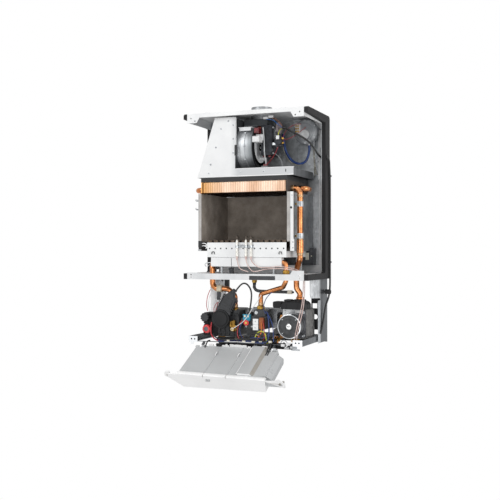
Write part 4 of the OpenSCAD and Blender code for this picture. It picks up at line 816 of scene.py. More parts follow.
# Clips that hold the flow pipe to the chamber's side: zinc-coated bands with one brass screw each.
clips = bmesh.new()
for z in (339, 440):
    turned(clips, (167, -190, z), UP, [(0, 9.2), (0, 10.8), (0.8, 11), (16.2, 11), (17, 10.8), (17, 9.2)])
    bar(clips, (149.2, -193, z + 4), (158.5, -187, z + 13))
    for s in (-1, 1):
        bar(clips, (160, -190 + s * 9.4, z + 2), (174, -190 + s * 9.4 + s * 1.4, z + 15))
    sheet_screw(clips, (154, -193, z + 8.5), FRONT, 3.4, 1, 2)
piece("flow_pipe_clips", clips, [zinc, blade_brass, recess_dark], "chassis",
      stands_for=["pipe_clips"], edge=0.3)

# Union nuts: hot-pressed brass, 16 to 24 mm across the flats, with chamfered corners and a dull gold skin.
brass = finish("hot-pressed brass", "#86642B", "#C09A4C", 12, (0.3, 0.46), grain=1.0, depth=0.05,
               Metallic=1.0)
nuts = bmesh.new()


def union_nut(form, x, y, z, height, radius, bore):
    """A chamfered hexagon round an upright pipe, with a low collar on top"""
    sides = [(0, 0.86), (0.1, 0.97), (0.14, 1), (0.84, 1), (1, 0.88)]
    hexagon = [(height * h, radius * r) for h, r in sides]
    turned(form, (x, y, z), UP, [(0, bore), *hexagon, (height, bore)], 6)
    turned(form, (x, y, z + height), UP, [(0, radius * 0.8), (1.2, bore + 1.6), (1.6, bore)], 28)


union_nut(nuts, 130, -218, 227.3, 10.5, 11.5, 7.7)
union_nut(nuts, 38, -200, 113, 11.5, 13.5, 7.6)
union_nut(nuts, 4, -170, 197, 28, 9, 4.6)
for i in range(-2, 3):
    union_nut(nuts, i * TAIL_STEP, -130, 4.1, 12.5, 14, 7.2 if abs(i) == 1 else 8.7)
turned(nuts, (4, -170, 218), UP, [(0, 9), (0.6, 10.6), (3.2, 10.6), (3.8, 9)], 28)
piece("union_nuts", nuts, [brass], "chassis", stands_for=["brass_nuts"], edge=0.25)

# Condensate and overflow hose: grey PVC, 10 mm across, with a white connector where it meets the pipe.
grey_hose = finish("dark grey PVC hose", "#2E2F31", "#4A4C4F", 16, (0.34, 0.5), grain=1.0, depth=0.03)
hose = bmesh.new()
line = eased([(4, -170, 226), (4, -170, 193), (4, -170, 181), (14, -168, 171), (46, -166, 169),
              (118, -166, 168)], 8)
swept(hose, line, 5.0, 18)
for s, t in ((0.18, 0.24), (0.36, 0.40)):
    a, b = line[int(s * len(line))], line[int(t * len(line))]
    swept(hose, [a, (a + b) / 2, b], 5.7, 18, 2)
turned(hose, (117, -166, 168), RIGHT, [(0, 5), (0.6, 6), (4, 6), (4.6, 5), (8, 5), (8.6, 6), (14, 6),
                                       (15, 4.6)], 24, 1)
bar(hose, (118, -172, 162), (132, -160, 174), 1)
bar(hose, (132, -170, 165), (139, -166, 171), 2)
piece("overflow_hose", hose, [grey_hose, ivory_plastic, rubber], "chassis",
      stands_for=["drain_hose"], edge=0.6)

# Combustion chamber: three boards of vacuum-formed ceramic fibre, 10 mm thick, in the galvanised shell.
# The fibre is warm grey with darker smoke marks, and its felted face is soft and slightly lumpy.
fibre = finish("vacuum-formed ceramic fibre", "#7E756C", "#ACA298", 48, (0.88, 0.98), grain=3.2, depth=0.5,
               spread=0.2)
tree, colour, base, place = opened(fibre)
pattern = {"Vector": place, "Scale": 1 / (2.4 * MM), "Detail": 4.0, "Roughness": 0.8}
speck = add(tree, "ShaderNodeTexNoise", pattern)
limits = {"From Min": 0.35, "From Max": 0.65, "To Min": 0.82, "To Max": 1.14}
fleck = add(tree, "ShaderNodeMapRange", {"Value": speck.outputs["Fac"], **limits})
flecked = add(tree, "ShaderNodeVectorMath", {0: base, 3: fleck.outputs[0]}, operation="SCALE")
tree.links.new(flecked.outputs[0], colour)
dress(fibre, "insulation")

# Shell fixings: rolled edges, spring hooks, the black thumb screw of the cover, the hemmed white side
# flange that the chamber's cover is screwed to, and the pale front edges of the two side boards.
shell = bmesh.new()
bars(shell, (
    ((149.4, -231.8, 300.5), (157.2, -231.2, 485.6)), ((149.4, -231.9, 300.5), (162.2, -231.2, 337.6)),
    ((156.8, -231.6, 338), (158.2, -226, 485.6)),
))
turned(shell, (151.8, -231.4, 436), FRONT, [(0, 3.4), (0.5, 3.6), (2.2, 3.4), (2.8, 2.4), (2.8, 0)], 20, 1)
turned(shell, (154.2, -232, 474), FRONT, [(-0.6, 2.6), (0.1, 2.6), (0.15, 2.1), (-0.5, 2.0)], 20, 2)
for z in (310, 328):
    turned(shell, (158, -232, z), FRONT, [(0, 2), (0.5, 1.9), (0.6, 0)], 16, 2)
for x0, x1 in ((-168, -158), (138, 148)):
    bar(shell, (x0, -231.4, 330), (x1, -229.8, 485.6), 4)
bar(shell, (-170.4, -231, 300.5), (-158, -229.6, 305), 2)
for z in (462, 434):
    swept(shell, eased([(-170, -226, z), (-175, -226.5, z), (-179, -228, z + 2), (-178, -229, z + 6)], 4),
          1.3, 8, 2)
for z in (324, 316):
    swept(shell, eased([(-156, -229, z), (-148, -232, z + 1), (-139, -233.6, z - 2), (-137, -233.6, z - 6),
                        (-142, -232, z - 7)], 5), 1.5)
bar(shell, (-168.5, -232.6, 311.4), (-155.6, -229, 332.4), 3)
edge_coat = finish("ceramic binder on the boards' front edges", "#A4A19E", "#C0BDBA", 30, (0.6, 0.8),
                   grain=2.4, depth=0.1)
piece("chamber_fixings", shell, [white_coat, ecoat, shell_zinc, recess_dark, edge_coat], "chassis",
      edge=0.25)

# Burner: fourteen ramps of folded stainless steel. Each top has thirty flame slots, and the heat has
# tinted the metal dark brown.
ramp_steel = finish("heat-tinted stainless steel", "#38302B", "#77695C", 22, (0.32, 0.5), grain=1.6,
                    depth=0.04, spread=0.22, Metallic=1.0)
ramps = bmesh.new()
FIRST_RAMP, RAMP_STEP, RAMPS = -127.6, 19.6, 14
SLOT_STEP, SLOTS = 6.4, 30
ramp_places = [FIRST_RAMP + RAMP_STEP * i for i in range(RAMPS)]
for x in ramp_places:
    side = [(6, 284), (6, 300), (4.6, 303), (6, 306), (6, 327), (5.2, 331.6), (3.4, 334)]
    pushed(ramps, [(x + a, b) for a, b in side] + [(x - a, b) for a, b in reversed(side)], "y", -226, -28)
    for j in range(SLOTS):
        y = -221 + j * SLOT_STEP
        bar(ramps, (x - 3.2, y, 333.4), (x + 3.2, y + 1.6, 334.15), 1)
    bar(ramps, (x - 6.4, -226.6, 328.6), (x - 3.4, -223, 334.6))
    bar(ramps, (x + 3.4, -226.6, 328.6), (x + 6.4, -223, 334.6))
    turned(ramps, (x, -226, 316), FRONT, [(0, 3.4), (0.7, 3.2), (0.9, 2.2), (0.4, 1.8)], 16)
for y in (-190, -70):
    bar(ramps, (-127, y, 288), (127, y + 4, 298))
piece("burner_ramp_row", ramps, [ramp_steel, recess_dark], "chassis",
      stands_for=["burner_ramps"])

# Front bar of the burner: the white folded bracket with one small screw for each ramp.
bar_screws = bmesh.new()
for x in ramp_places:
    turned(bar_screws, (x, -232, 308), FRONT, [(-0.4, 2.6), (-0.1, 2.6), (0.5, 2.1), (0.7, 0)], 16, 1)
bar(bar_screws, (-136, -232.4, 326), (136, -228, 327.2))
bar(bar_screws, (-136, -232.6, 280.2), (136, -230.4, 281.4))
piece("burner_bar_screws", bar_screws, [white_coat, recess_dark], "chassis", edge=0.2)

# Gas manifold: a folded and welded box of white sheet that feeds the ramps, with an inspection slot,
# two thin black arches over it, and hooks of bright wire at its left end.
manifold = bmesh.new()
bars(manifold, (
    ((-124, -230, 250), (-53, -208, 279.6)), ((-50.6, -230, 250), (119, -208, 279.6)),
    ((-53.2, -229, 276), (-50.4, -208, 279.6)), ((-53.2, -222, 251), (-50.4, -208, 276), 2),
    ((-124, -231, 250), (-54, -229.6, 252)), ((-49.6, -231, 250), (119, -229.6, 252)),
))
for x in (-114.6, 116.7):
    arch = [(5.4, 289.6), (5.4, 294.6), (3.4, 298.4), (-3.4, 298.4), (-5.4, 294.6), (-5.4, 289.6)]
    arch += [(-3.8, 289.6), (-3.8, 294.2), (-2.4, 296.6), (2.4, 296.6), (3.8, 294.2), (3.8, 289.6)]
    pushed(manifold, [(x + a, b) for a, b in arch], "y", -235.6, -232.2, 1)
for x in (-90, 90):
    bar(manifold, (x - 3, -222, 227), (x + 3, -216, 250), 3)
swept(manifold, eased([(-124, -226, 262), (-134, -230, 262), (-141, -233, 260), (-143, -234, 254),
                       (-139, -234, 249)], 5), 1.6, 10, 3)
swept(manifold, eased([(-124, -220, 256), (-131, -226, 255), (-136, -230, 250)], 5), 1.4, 10, 3)
piece("gas_manifold_box", manifold, [white_coat, ecoat, recess_dark, screw_zinc], "chassis",
      stands_for=["gas_manifold"], edge=0.5)

# On the chamber floor behind its flange: a pale folded sheet with four screws, and a dark cylinder.
deck = bmesh.new()
bar(deck, (-128, -150, 227.2), (136, -149, 254))
bar(deck, (-128, -150, 253), (136, -140, 254))
for x in (-96, -58, -22, 42):
    sheet_screw(deck, (x, -150, 240), FRONT, 3.2, 1, 2)
turned(deck, (-58, -214, 227), UP, [(0, 7), (0.6, 7.6), (17, 7.6), (18.4, 6.4), (19, 3.4), (19, 0)], 28, 3)
piece("chamber_floor_deck", deck, [floor_coat, screw_zinc, recess_dark, box_plastic], "chassis",
      edge=0.4)

# Electrodes: glazed alumina rods with heat-resistant wire tips, two for the spark and one that senses the
# flame. The glaze is white and glossy. One bright strip with a clamp screw holds all three.
alumina = finish("glazed alumina ceramic", "#DEDAD2", "#F4F2EC", 8, (0.12, 0.22), grain=1.0, depth=0.01,
                 Coat_Weight=0.4)
tip_wire = finish("heat-resistant alloy wire", "#4E4640", "#8C8278", 5, (0.35, 0.5), Metallic=1.0)
spark = bmesh.new()
for x in (-29, 2, 19):
    turned(spark, (x, -238, 282), UP, [(0, 3), (0.6, 4.8), (7, 4.8), (9, 3.9), (15, 3.9), (16, 4.6),
                                       (18, 4.6), (19, 3.9), (49, 3.9), (51, 3.2), (53.4, 1.8), (54, 1.2)],
                                       28)
    swept(spark, eased([(x, -238, 334), (x, -238, 342), (x, -236, 347), (x + 1, -228, 346),
                        (x + 1, -220, 341)], 5), 0.9, 8, 1)
    bar(spark, (x - 5.5, -236.8, 311), (x + 5.5, -233.6, 317), 2)
    turned(spark, (x, -238, 309.6), UP, [(0, 4), (0, 5.2), (8.4, 5.2), (8.4, 4)], 24, 2)
bar(spark, (-36, -233.8, 310), (26, -232.2, 320), 2)
bar(spark, (-36, -235.4, 318.8), (26, -232.2, 320), 2)
sheet_screw(spark, (-14, -234, 317), FRONT, 4, 2, 3)
piece("electrode_set", spark, [alumina, tip_wire, screw_zinc, recess_dark], "chassis",
      stands_for=["electrodes"], edge=0.25)

# Electrode leads: silicone-covered ignition wire, pale pink with a matt bloom, with boots of the same
# rubber on the rods. Two leads cross to the right and drop through the floor's grommets to the rail.
pink_silicone = finish("pink silicone cover", "#BDA099", "#E2CDC7", 20, (0.45, 0.6), grain=1.2, depth=0.02)
spark_leads = bmesh.new()
for points in (
    [(-29, -238, 281.7), (-29, -238, 275), (-27, -238, 266), (-24, -238, 254), (-16, -238, 242),
     (10, -238, 234)],
    [(2, -238, 281.7), (2, -238, 275), (5, -238, 262), (15, -238, 244), (32, -240, 235), (74, -241, 243),
     (114, -241, 245), (150, -236, 242), (184, -228, 232),
     (191.6, -221, 227), (191.6, -218, 177), (189, -222, 127), (184, -233, 87), (176, -235, 55),
     (168, -232, 8.5)],
    [(19, -238, 281.7), (19, -238, 275), (26, -238, 262), (48, -238, 248), (78, -237, 248),
     (116, -237, 251), (154, -231, 246), (180, -222, 236),
     (185.8, -213.4, 227), (184, -210, 177), (182, -216, 132), (178, -232.5, 92), (170, -234.5, 55),
     (160, -232, 8.5)],
):
    swept(spark_leads, eased(points, 6), 1.4)
    turned(spark_leads, points[0], DOWN, [(-3, 3.9), (1, 3.9), (3, 3.2), (9, 2.6), (10, 1.5)], 20)
for x, y in ((191.6, -221), (185.8, -213.4)):
    turned(spark_leads, (x, y, 224.2), UP, [(0, 1.5), (0, 4.2), (1.4, 4.4), (1.6, 3.4), (2.9, 3.4),
                                            (3.1, 4.4), (4.4, 4.2), (4.4, 1.5)], 24, 1)
piece("ignition_leads", spark_leads, [pink_silicone, rubber], "chassis",
      stands_for=["electrode_leads"])

# Domestic water heat exchanger behind the pump: pressed stainless plates, brazed with copper at the rims.
stainless = finish("brazed stainless steel", "#6E7073", "#A6A8AB", 26, (0.3, 0.46), grain=1.4, depth=0.04,
                   Metallic=1.0)
dress(stainless, "plate_exchanger")

# Pump: a canned wet-rotor motor in a die-cast housing, with a ribbed left flange of bronze colour. The
# round face is a dark moulded cover in a polished steel ring, with the bright vent screw at its middle.
cast_grey = finish("shot-blasted aluminium casting", "#5C5B5A", "#838280", 14, (0.5, 0.68), grain=1.1,
                   depth=0.12, Metallic=0.85)
cast_light = finish("machined aluminium casting", "#A7A9AB", "#CFD1D2", 20, (0.32, 0.48), grain=1.3,
                    depth=0.03, Metallic=0.9)
bronze = finish("cast bronze", "#7D5430", "#B98551", 12, (0.38, 0.55), grain=1.1, depth=0.1, Metallic=1.0)
can_grey = finish("dark enamelled steel can", "#38393B", "#535457", 24, (0.35, 0.5), grain=1.0, depth=0.02,
                  Metallic=0.6)
nickel = finish("bright nickel plate", "#E2E3E4", "#F8F8F8", 14, (0.2, 0.32), grain=1.0, depth=0.01,
                Metallic=0.75)
ring_steel = finish("polished stainless steel", "#B4B7BA", "#DDDFE1", 30, (0.12, 0.22), grain=1.0,
                    depth=0.01, Metallic=1.0)
face_black = finish("charcoal moulded nylon", "#2C2D2F", "#444547", 16, (0.4, 0.54), grain=0.9, depth=0.04,
                    Specular_IOR_Level=0.35)
housing = bmesh.new()


def rounded(x0, x1, z0, z1, r):
    """The outline of a rectangle with round corners"""
    left, right, low, high = x0 + r, x1 - r, z0 + r, z1 - r
    out = []
    for cx, cz, first in ((right, high, 0), (left, high, 90), (left, low, 180), (right, low, 270)):
        out += arc(cx, cz, r, [first + 90 * i / 4 for i in range(5)])
    return out


def pump_at(y):
    """A point on the pump's axis"""
    return (143, y, 63)


pushed(housing, rounded(106, 186, 22, 115.8, 9), "y", -184, -100)
pushed(housing, rounded(107.5, 184.5, 24, 114.5, 8), "y", -186.5, -184, 1)
for z in (34, 46, 58, 70, 82, 94):
    bar(housing, (184, -180, z), (186.6, -104, z + 4))
for x, z in ((114, 32), (178, 32), (114, 106), (178, 106)):
    turned(housing, (x, -186.4, z), FRONT, [(0, 4.6), (3.4, 4.6), (4, 4), (4, 2.4), (1.6, 2.2), (1.6, 0)],
           24, 3)
bar(housing, (109, -189, 103), (116, -186, 115), 1)
bar(housing, (150, -187.6, 104), (172, -186, 113), 4)
pushed(housing, rounded(74, 107, 30, 48, 5), "y", -146, -114)
pushed(housing, rounded(60.2, 76, 30.2, 47.8, 5), "y", -142, -118)
pushed(housing, rounded(98, 106.4, 21, 96, 3), "y", -184, -150, 2)
for z in (30, 44, 58, 72, 86):
    pushed(housing, rounded(97.2, 106.4, z - 2, z + 2, 1), "y", -184.6, -152, 2)
turned(housing, pump_at(-184), FRONT, [(-6, 41), (5, 41), (5.8, 40.2), (6, 38.2)], 72, 1)
# The machined ring round the motor is painted darker towards its right as painted shade.
shaded_by_place(cast_light, 0, 128, 166, "#55565A")
piece("pump_housing", housing, [cast_grey, cast_light, bronze, screw_zinc, plain_label], "chassis",
      stands_for=["pump_volute"], edge=0.6)

can = bmesh.new()
turned(can, pump_at(-184), FRONT, [(0, 38), (36, 38), (36, 34.6), (0, 34.6)], 96, 3)
turned(can, pump_at(-184), FRONT, [(36, 35), (36, 38), (37, 38.6), (42.4, 38.6), (43.6, 38.1), (44.1, 37),
                                   (44.1, 35.6), (43.2, 35.0), (42, 35.0)], 96, 1)
turned(can, pump_at(-184), FRONT, [(30, 35.2), (42.9, 35.2), (42.9, 27), (43.5, 26), (43.5, 24),
                                   (42.9, 23.2), (42.9, 13.4), (44, 12.4), (44.3, 9.5), (36, 9.5)], 96)
spokes(can, pump_at(-227), "Y", 24, (-0.35, -0.3, 28.4), (0.35, 0.4, 33.8))
for x, z in arc(143, 63, 31, FOUR_CORNERS):
    turned(can, (x, -226.8, z), FRONT, [(0, 2.2), (0.8, 2.2), (1, 1.6), (0.4, 1.2)], 6, 2)
piece("pump_motor_can", can, [face_black, ring_steel, screw_zinc, can_grey], "chassis",
      stands_for=["pump_motor"])
dress(stainless, "pump_rotor")

# Vent screw: turned and nickel-plated, with a knurled side and a wide slot.
vent = bmesh.new()
turned(vent, pump_at(-220), FRONT, [(0, 8.9), (8.2, 8.95), (9.6, 8.6), (10.4, 7.6), (10.4, 6.4), (9.9, 5.8),
                                    (9.9, 0)], 40)
bar(vent, (136.6, -230.6, 62.1), (149.4, -229.7, 63.9), 1)
spokes(vent, pump_at(-228.6), "Y", 30, (-0.35, -0.8, 8.4), (0.35, 0.8, 8.98))
piece("pump_vent_screw", vent, [nickel, recess_dark], "vent_screw",
      stands_for=["vent_screw"], edge=0.12)

# Black cap above the pump, with its air vent and plug: glass-filled nylon mouldings with an arched lid,
# stiffening ribs and snap hooks. The fibres give it a dry satin skin.
cap_black = finish("deep black glass-filled nylon", "#0B0C0E", "#17181A", 14, (0.5, 0.64), grain=0.8,
                   depth=0.03, Specular_IOR_Level=0.3)
cap = bmesh.new()
arch = [(108, 116), (108, 128), (110, 133), (115, 137.4), (124, 140.4), (140, 141.4), (160, 140.6),
        (174, 137.6), (180, 133), (182, 128), (182, 116)]
pushed(cap, arch, "y", -204, -124)
pushed(cap, [(x * 0.94 + 8.7, 116 + (z - 116) * 0.9) for x, z in arch], "y", -206.4, -204)
for y in (-198, -160, -130):
    pushed(cap, [(145 + (x - 145) * 1.012, 116 + (z - 116) * 1.045) for x, z in arch], "y", y, y + 3)
for x in (112, 126, 164, 178):
    bar(cap, (x - 1, -207.6, 117), (x + 1, -206, 131))
pushed(cap, rounded(80.4, 108, 120, 139.6, 4), "y", -204, -174)
pushed(cap, rounded(83, 105, 123, 137, 3), "y", -206, -204)
for x in (88, 94, 100):
    bar(cap, (x - 0.7, -206.8, 124), (x + 0.7, -206, 136))
turned(cap, (159, -166, 138), UP, [(0, 22), (2, 22), (5, 20), (7.6, 19), (8, 17), (8, 9.4)], 48)
pushed(cap, rounded(118, 140, 138, 146.6, 3), "y", -204, -174)
turned(cap, (129, -189, 146), UP, [(0, 6), (0.8, 5.8), (0.9, 0)], 24)
for z in (118, 134):
    bar(cap, (181.4, -196, z), (184.4, -176, z + 3))
piece("pump_cap_and_vent", cap, [cap_black], "chassis", stands_for=["air_vent"], edge=0.8)

# Diverter valve: a ribbed body of glass-filled nylon on the left, with the return pipe's socket on top,
# and a geared motor that snaps onto its front. The motor's black cover has a round face and an arm that
# leans to the right and ends in a cable neck, with finger ribs along both edges.
valve_nylon = finish("black glass-filled polyamide", "#1B1C1E", "#2C2E31", 12, (0.45, 0.6), grain=0.9,
                     depth=0.05)
block = bmesh.new()
pushed(block, rounded(-112, -38, 22, 112, 7), "y", -200, -112)
for x in (-104, -88, -72, -56):
    bar(block, (x - 1.2, -203.6, 26), (x + 1.2, -199, 108))
for z in (34, 60, 88):
    bar(block, (-111, -203, z - 1.2), (-39, -199, z + 1.2))
turned(block, (-54, -190, 100), UP, [(0, 14), (11, 14), (12, 13), (12, 10)])
turned(block, (-54, -195, 108), UP, [(0, 11.6), (6, 11.6), (8, 10.6), (9, 9.2)], 6, 1)
turned(block, (-97, -200, 78), FRONT, [(0, 20), (3.4, 20), (4, 19.4), (4, 5.2), (2, 5.2)], 40)
for x, z in ((-106, 30), (-44, 30), (-44, 92)):
    turned(block, (x, -200, z), FRONT, [(0, 5), (3.6, 4.6), (3.6, 2.6), (2, 2.4), (2, 0)], 20)
piece("diverter_valve_body", block, [valve_nylon, brass], "chassis",
      stands_for=["diverter_body"], edge=0.6)
dress(brass, "diverter_spindle")

gear = bmesh.new()
lean = Matrix.Translation((-97, 0, 78)) @ Matrix.Rotation(math.radians(27), 4, "Y")
turned(gear, (-97, -204, 78), FRONT, [(0, 26.4), (1.4, 27), (17, 27), (20, 26), (22, 23.6), (22.8, 22.4),
                                      (22.4, 21.2), (22.4, 19.8), (23.6, 19.2), (24, 18), (24, 0)], 72)
turned(gear, (-92, -204, 80), FRONT, [(16, 30), (21, 31), (23.6, 30), (24.6, 27.6), (23.4, 25.4),
                                      (23.4, 24), (25.4, 23), (26.2, 21), (26.2, 0)], 72, 1)
arm = [(-25, 8), (-25.6, 20), (-24, 34), (-23, 52), (-21, 74), (-19, 82), (-12, 92), (-8, 101), (8, 101),
       (9, 94), (15, 88), (22, 82), (23, 60), (24, 34), (25.6, 20), (25, 8)]
pushed(gear, arm, "y", -222, -210, 0, lean)
pushed(gear, [(a * 0.88, 6 + b * 0.9) for a, b in arm], "y", -224, -221.8, 0, lean)
pushed(gear, [(-26, 30), (-26, 38), (26, 38), (26, 30)], "y", -224.6, -208.6, 0, lean)
pushed(gear, [(-17, 46), (-15, 78), (14, 78), (16, 46)], "y", -225, -223.6, 0, lean)
pushed(gear, [(-17.5, 60), (-17.2, 62), (16, 62), (16.4, 60)], "y", -225.8, -224.6, 0, lean)
for i in range(6):
    bar(gear, (22.4, -223, 43.4 + i * 7), (26.6, -211, 47.4 + i * 7), 0, lean)
    bar(gear, (-25.6, -223, 43.4 + i * 7), (-21, -213, 46 + i * 7), 0, lean)
swept(gear, [lean @ Vector((0, -217, b)) for b in (99, 102, 105, 108, 111)], lambda s: 6.4 - 2.2 * s, 20)
for b in (102, 105.4, 108.8):
    swept(gear, [lean @ Vector((0, -217, b - 0.8)), lean @ Vector((0, -217, b + 0.8))],
          6.6 - (b - 100) * 0.18, 20)
for step in range(4):
    low, high = 44 + step * 9, 49 + step * 9
    pushed(gear, [(-19 + step, low), (-19 + step, high), (18 - step, high), (18 - step, low)], "y",
           -226.2 + step * 0.2, -224.4, 0, lean)
for a in (-22, 21):
    bar(gear, (a - 1, -225.4, 40), (a + 1, -223.4, 80), 0, lean)
for a, b in ((-13, 22), (12, 22)):
    turned(gear, lean @ Vector((a, -224, b)), FRONT, [(0, 2.4), (0.6, 2.2), (0.7, 1.5), (0.2, 1.3)], 16)
piece("diverter_motor_cover", gear, [valve_nylon, cap_black], "chassis",
      stands_for=["diverter_motor"], edge=0.7)

# Under the hydraulic group lies its moulded black base, with a lower bar behind its front and a web that
# closes the space between the gas valve and the pump.
base = bmesh.new()
pushed(base, rounded(-108, 96, 7.5, 21, 3), "y", -222, -206)
pushed(base, rounded(-104, 150, -10, 9, 2), "y", -214, -208)
pushed(base, rounded(56, 105, 22, 98, 4), "y", -112, -108)
for x in range(-96, 90, 18):
    bar(base, (x, -223.4, 9), (x + 3, -221.6, 20))
piece("hydraulic_base", base, [cap_black], "chassis", edge=0.6)

# Gas valve: a die-cast body under a black epoxy coat, with a round solenoid cap, a ribbed operator block
# in brown lacquer and zinc screws. A white sheet plate is screwed to its front.
epoxy = finish("black epoxy on a casting", "#232426", "#38393C", 14, (0.4, 0.56), grain=1.3, depth=0.08)
lacquer = finish("copper-brown lacquered casting", "#6E3D22", "#9A5C38", 14, (0.32, 0.48), grain=1.2,
                 depth=0.06, Metallic=0.55)
valve = bmesh.new()
pushed(valve, rounded(-14, 60, 50, 92, 4), "y", -210, -158)
pushed(valve, rounded(18, 58, 92, 113, 5), "y", -212, -178)
pushed(valve, rounded(-14, 14, 28, 50.4, 4), "y", -190, -114)
pushed(valve, rounded(40, 56, 52, 88, 3), "y", -222, -210, 1)
for z in (58, 66, 74, 82):
    bar(valve, (40.6, -222.8, z - 1), (55.4, -221.6, z + 1), 1)
turned(valve, (-2, -188, 91), UP, [(0, 12), (9, 12), (12, 10.4), (13, 6), (13, 0)], 36)
for x in (-8, 12, 34):
    turned(valve, (x, -210, 58), FRONT, [(0, 3.6), (2.6, 3.4), (3, 2.4), (1.4, 2.0), (1.4, 0)], 20, 2)
turned(valve, (27, -212, 103), FRONT, [(0, 6), (1.6, 5.8), (2, 4.6), (1, 4), (1, 0)], 28, 2)
for x in (42, 48, 54):
    bar(valve, (x - 0.8, -213, 96), (x + 0.8, -211.6, 110))
piece("gas_valve_body", valve, [epoxy, lacquer, screw_zinc], "chassis",
      stands_for=["gas_valve"], edge=0.5)
tag = bmesh.new()
for z in (56, 76):
    sheet_screw(tag, (29, -224, z), FRONT, 2.6)
bar(tag, (20.4, -224.4, 65.6), (37.6, -224, 66.4))
piece("valve_plate_screws", tag, [screw_zinc, recess_dark], "chassis")

# Flow sensor: a teal acetal cap with its snap tabs, over a red button with a brass-yellow centre.
teal = finish("teal acetal", "#0E6E8A", "#1E93B4", 14, (0.28, 0.42), grain=0.8, depth=0.02)
red_plastic = finish("red ABS", "#C22B2E", "#E2484A", 14, (0.24, 0.38), grain=0.8, depth=0.02)
yellow_plastic = finish("yellow nylon", "#C9A43A", "#E6C660", 8, (0.35, 0.5), grain=0.7, depth=0.02)
sensor = bmesh.new()
turned(sensor, (-4, -210, 84), FRONT, [(0, 12.6), (1, 13), (8, 13), (9.6, 12), (10, 10), (9.4, 9),
                                       (9.4, 0)], 48)
bars(sensor, (
    ((-17, -219, 92), (9, -211, 97)), ((-12, -221, 88), (-6, -219, 94), 4),
    ((-1, -221, 88), (5, -219, 94), 4),
))
turned(sensor, (-4, -219.4, 70), FRONT, [(0, 9), (3.2, 9), (4.2, 8.2), (4.6, 6.4), (4.2, 5.8), (4.2, 0)],
       36, 1)
turned(sensor, (-4, -223.4, 70), FRONT, [(0, 4), (1.2, 3.8), (1.6, 3), (1.6, 0)], 28, 2)
turned(sensor, (-4, -211, 68), FRONT, [(0, 5), (10, 5)], 24, 1)
bar(sensor, (-22, -219, 70), (-14, -211, 84), 3)
piece("flow_sensor_cap", sensor, [teal, red_plastic, yellow_plastic, box_plastic, ivory_plastic], "chassis",
      stands_for=["flow_sensor"], edge=0.4)

# Water group at the left: a black glass-filled nylon block that holds the safety valve and the filling
# tap, and beside the diverter a small hot-pressed brass port with a cream bush and a stepped coupling.
cream = finish("cream acetal", "#CFC29A", "#E8DDBB", 8, (0.3, 0.45), grain=0.7, depth=0.02)
group = bmesh.new()
pushed(group, rounded(-166, -112, 22, 60, 6), "y", -198, -114)
pushed(group, rounded(-166, -112, 60, 98, 6), "y", -198, -160)
turned(group, (-144, -198, 46), FRONT, [(0, 11.4), (3, 11.4), (4, 10), (11.6, 10), (12, 9.4), (12, 4.2),
                                        (8, 4.2)], 40)
turned(group, (-152, -198, 83), FRONT, [(0, 12.4), (2, 12.4), (2.6, 11), (5.8, 11), (6, 10.4), (6, 4.2),
                                        (4, 4.2)], 40)
turned(group, (-120, -198, 74), FRONT, [(0, 9), (4, 9), (4.6, 8), (4.6, 0)], 6)
for z in (30, 54):
    bar(group, (-165, -200, z - 1.5), (-113, -197, z + 1.5))
for x in (-160, -148, -130, -118):
    bar(group, (x - 0.8, -199.4, 62), (x + 0.8, -197, 70))
piece("water_group_block", group, [cap_black], "chassis", stands_for=["safety_valve"],
      edge=0.6)
port = bmesh.new()
turned(port, (-52, -204, 48), FRONT, [(0, 9), (6, 9), (7, 7), (19, 7), (20, 6.2), (20, 2.7), (12, 2.6)])
turned(port, (-52, -222, 48), FRONT, [(0, 5.6), (2.4, 5.4), (2.8, 4.8), (2.8, 2.8), (-2, 2.7)], 28, 1)
for b in range(3):
    bar(port, (-63 + b * 6, -217, 55 + b * 2), (-59 + b * 6, -205, 72 + b * 2))
bar(port, (-64, -214, 54), (-44, -204.2, 60))
piece("water_group_port", port, [brass, cream], "chassis", stands_for=["safety_valve"], edge=0.6)

# Red handle of the safety valve: ABS, with twelve finger flutes and a grey disc set in its middle.
grey_plastic = finish("slate ABS", "#4C5155", "#666C71", 10, (0.35, 0.5), grain=0.7, depth=0.03)
handle = bmesh.new()


def fluted(form, at, axis, heights, radius, dip, count, paint, bite=0.5):
    """A grip whose side waves in and out between its flutes; heights are (height, share of the radius)"""
    axis = Vector(axis).normalized()
    side = axis.cross(Vector(UP)).normalized() if abs(axis.z) < 0.95 else Vector(RIGHT)
    up = axis.cross(side)
    rings = []
    for h, share in heights:
        ring = []
        for i in range(count * 8):
            a = 2 * math.pi * i / (count * 8)
            wave = max(0.0, math.cos(a * count) - bite) / (1 - bite)
            r = (radius - dip * wave) * share
            ring.append(form.verts.new(Vector(at) + axis * h + (side * math.cos(a) + up * math.sin(a)) * r))
        rings.append(ring)
    skinned(form, rings, paint)


fluted(handle, (-144, -212, 46), FRONT, [(0, 0.92), (0.8, 1), (10.6, 1), (12.6, 0.95), (13.6, 0.84),
                                         (14, 0.72)], 14, 1.4, 12, 0)
turned(handle, (-144, -226, 46), FRONT, [(-0.4, 7.6), (0.35, 7.5), (0.6, 7), (0.6, 0)], 36, 1)
turned(handle, (-144, -212, 46), BACK, [(0, 4), (28, 4)], 24, 2)
piece("safety_valve_handle", handle, [red_plastic, grey_plastic, brass], "safety_knob",
      stands_for=["safety_knob"])

# Filling tap: a black nylon handle with ten deep finger notches and a dished hub.
tap = bmesh.new()
fluted(tap, (-152, -205, 83), FRONT, [(0, 0.94), (0.8, 1), (13, 1), (15.4, 0.96), (16.6, 0.86), (17, 0.74)],
       15, 2.4, 10, 0, 0.3)
turned(tap, (-152, -221.6, 83), FRONT, [(0, 8.4), (0.2, 8.4), (0.3, 6.4), (-0.6, 6), (-0.6, 0)])
turned(tap, (-152, -205, 83), BACK, [(0, 4), (21, 4)], 24, 1)
piece("filling_tap_handle", tap, [valve_nylon, brass], "fill_tap", stands_for=["fill_tap"])

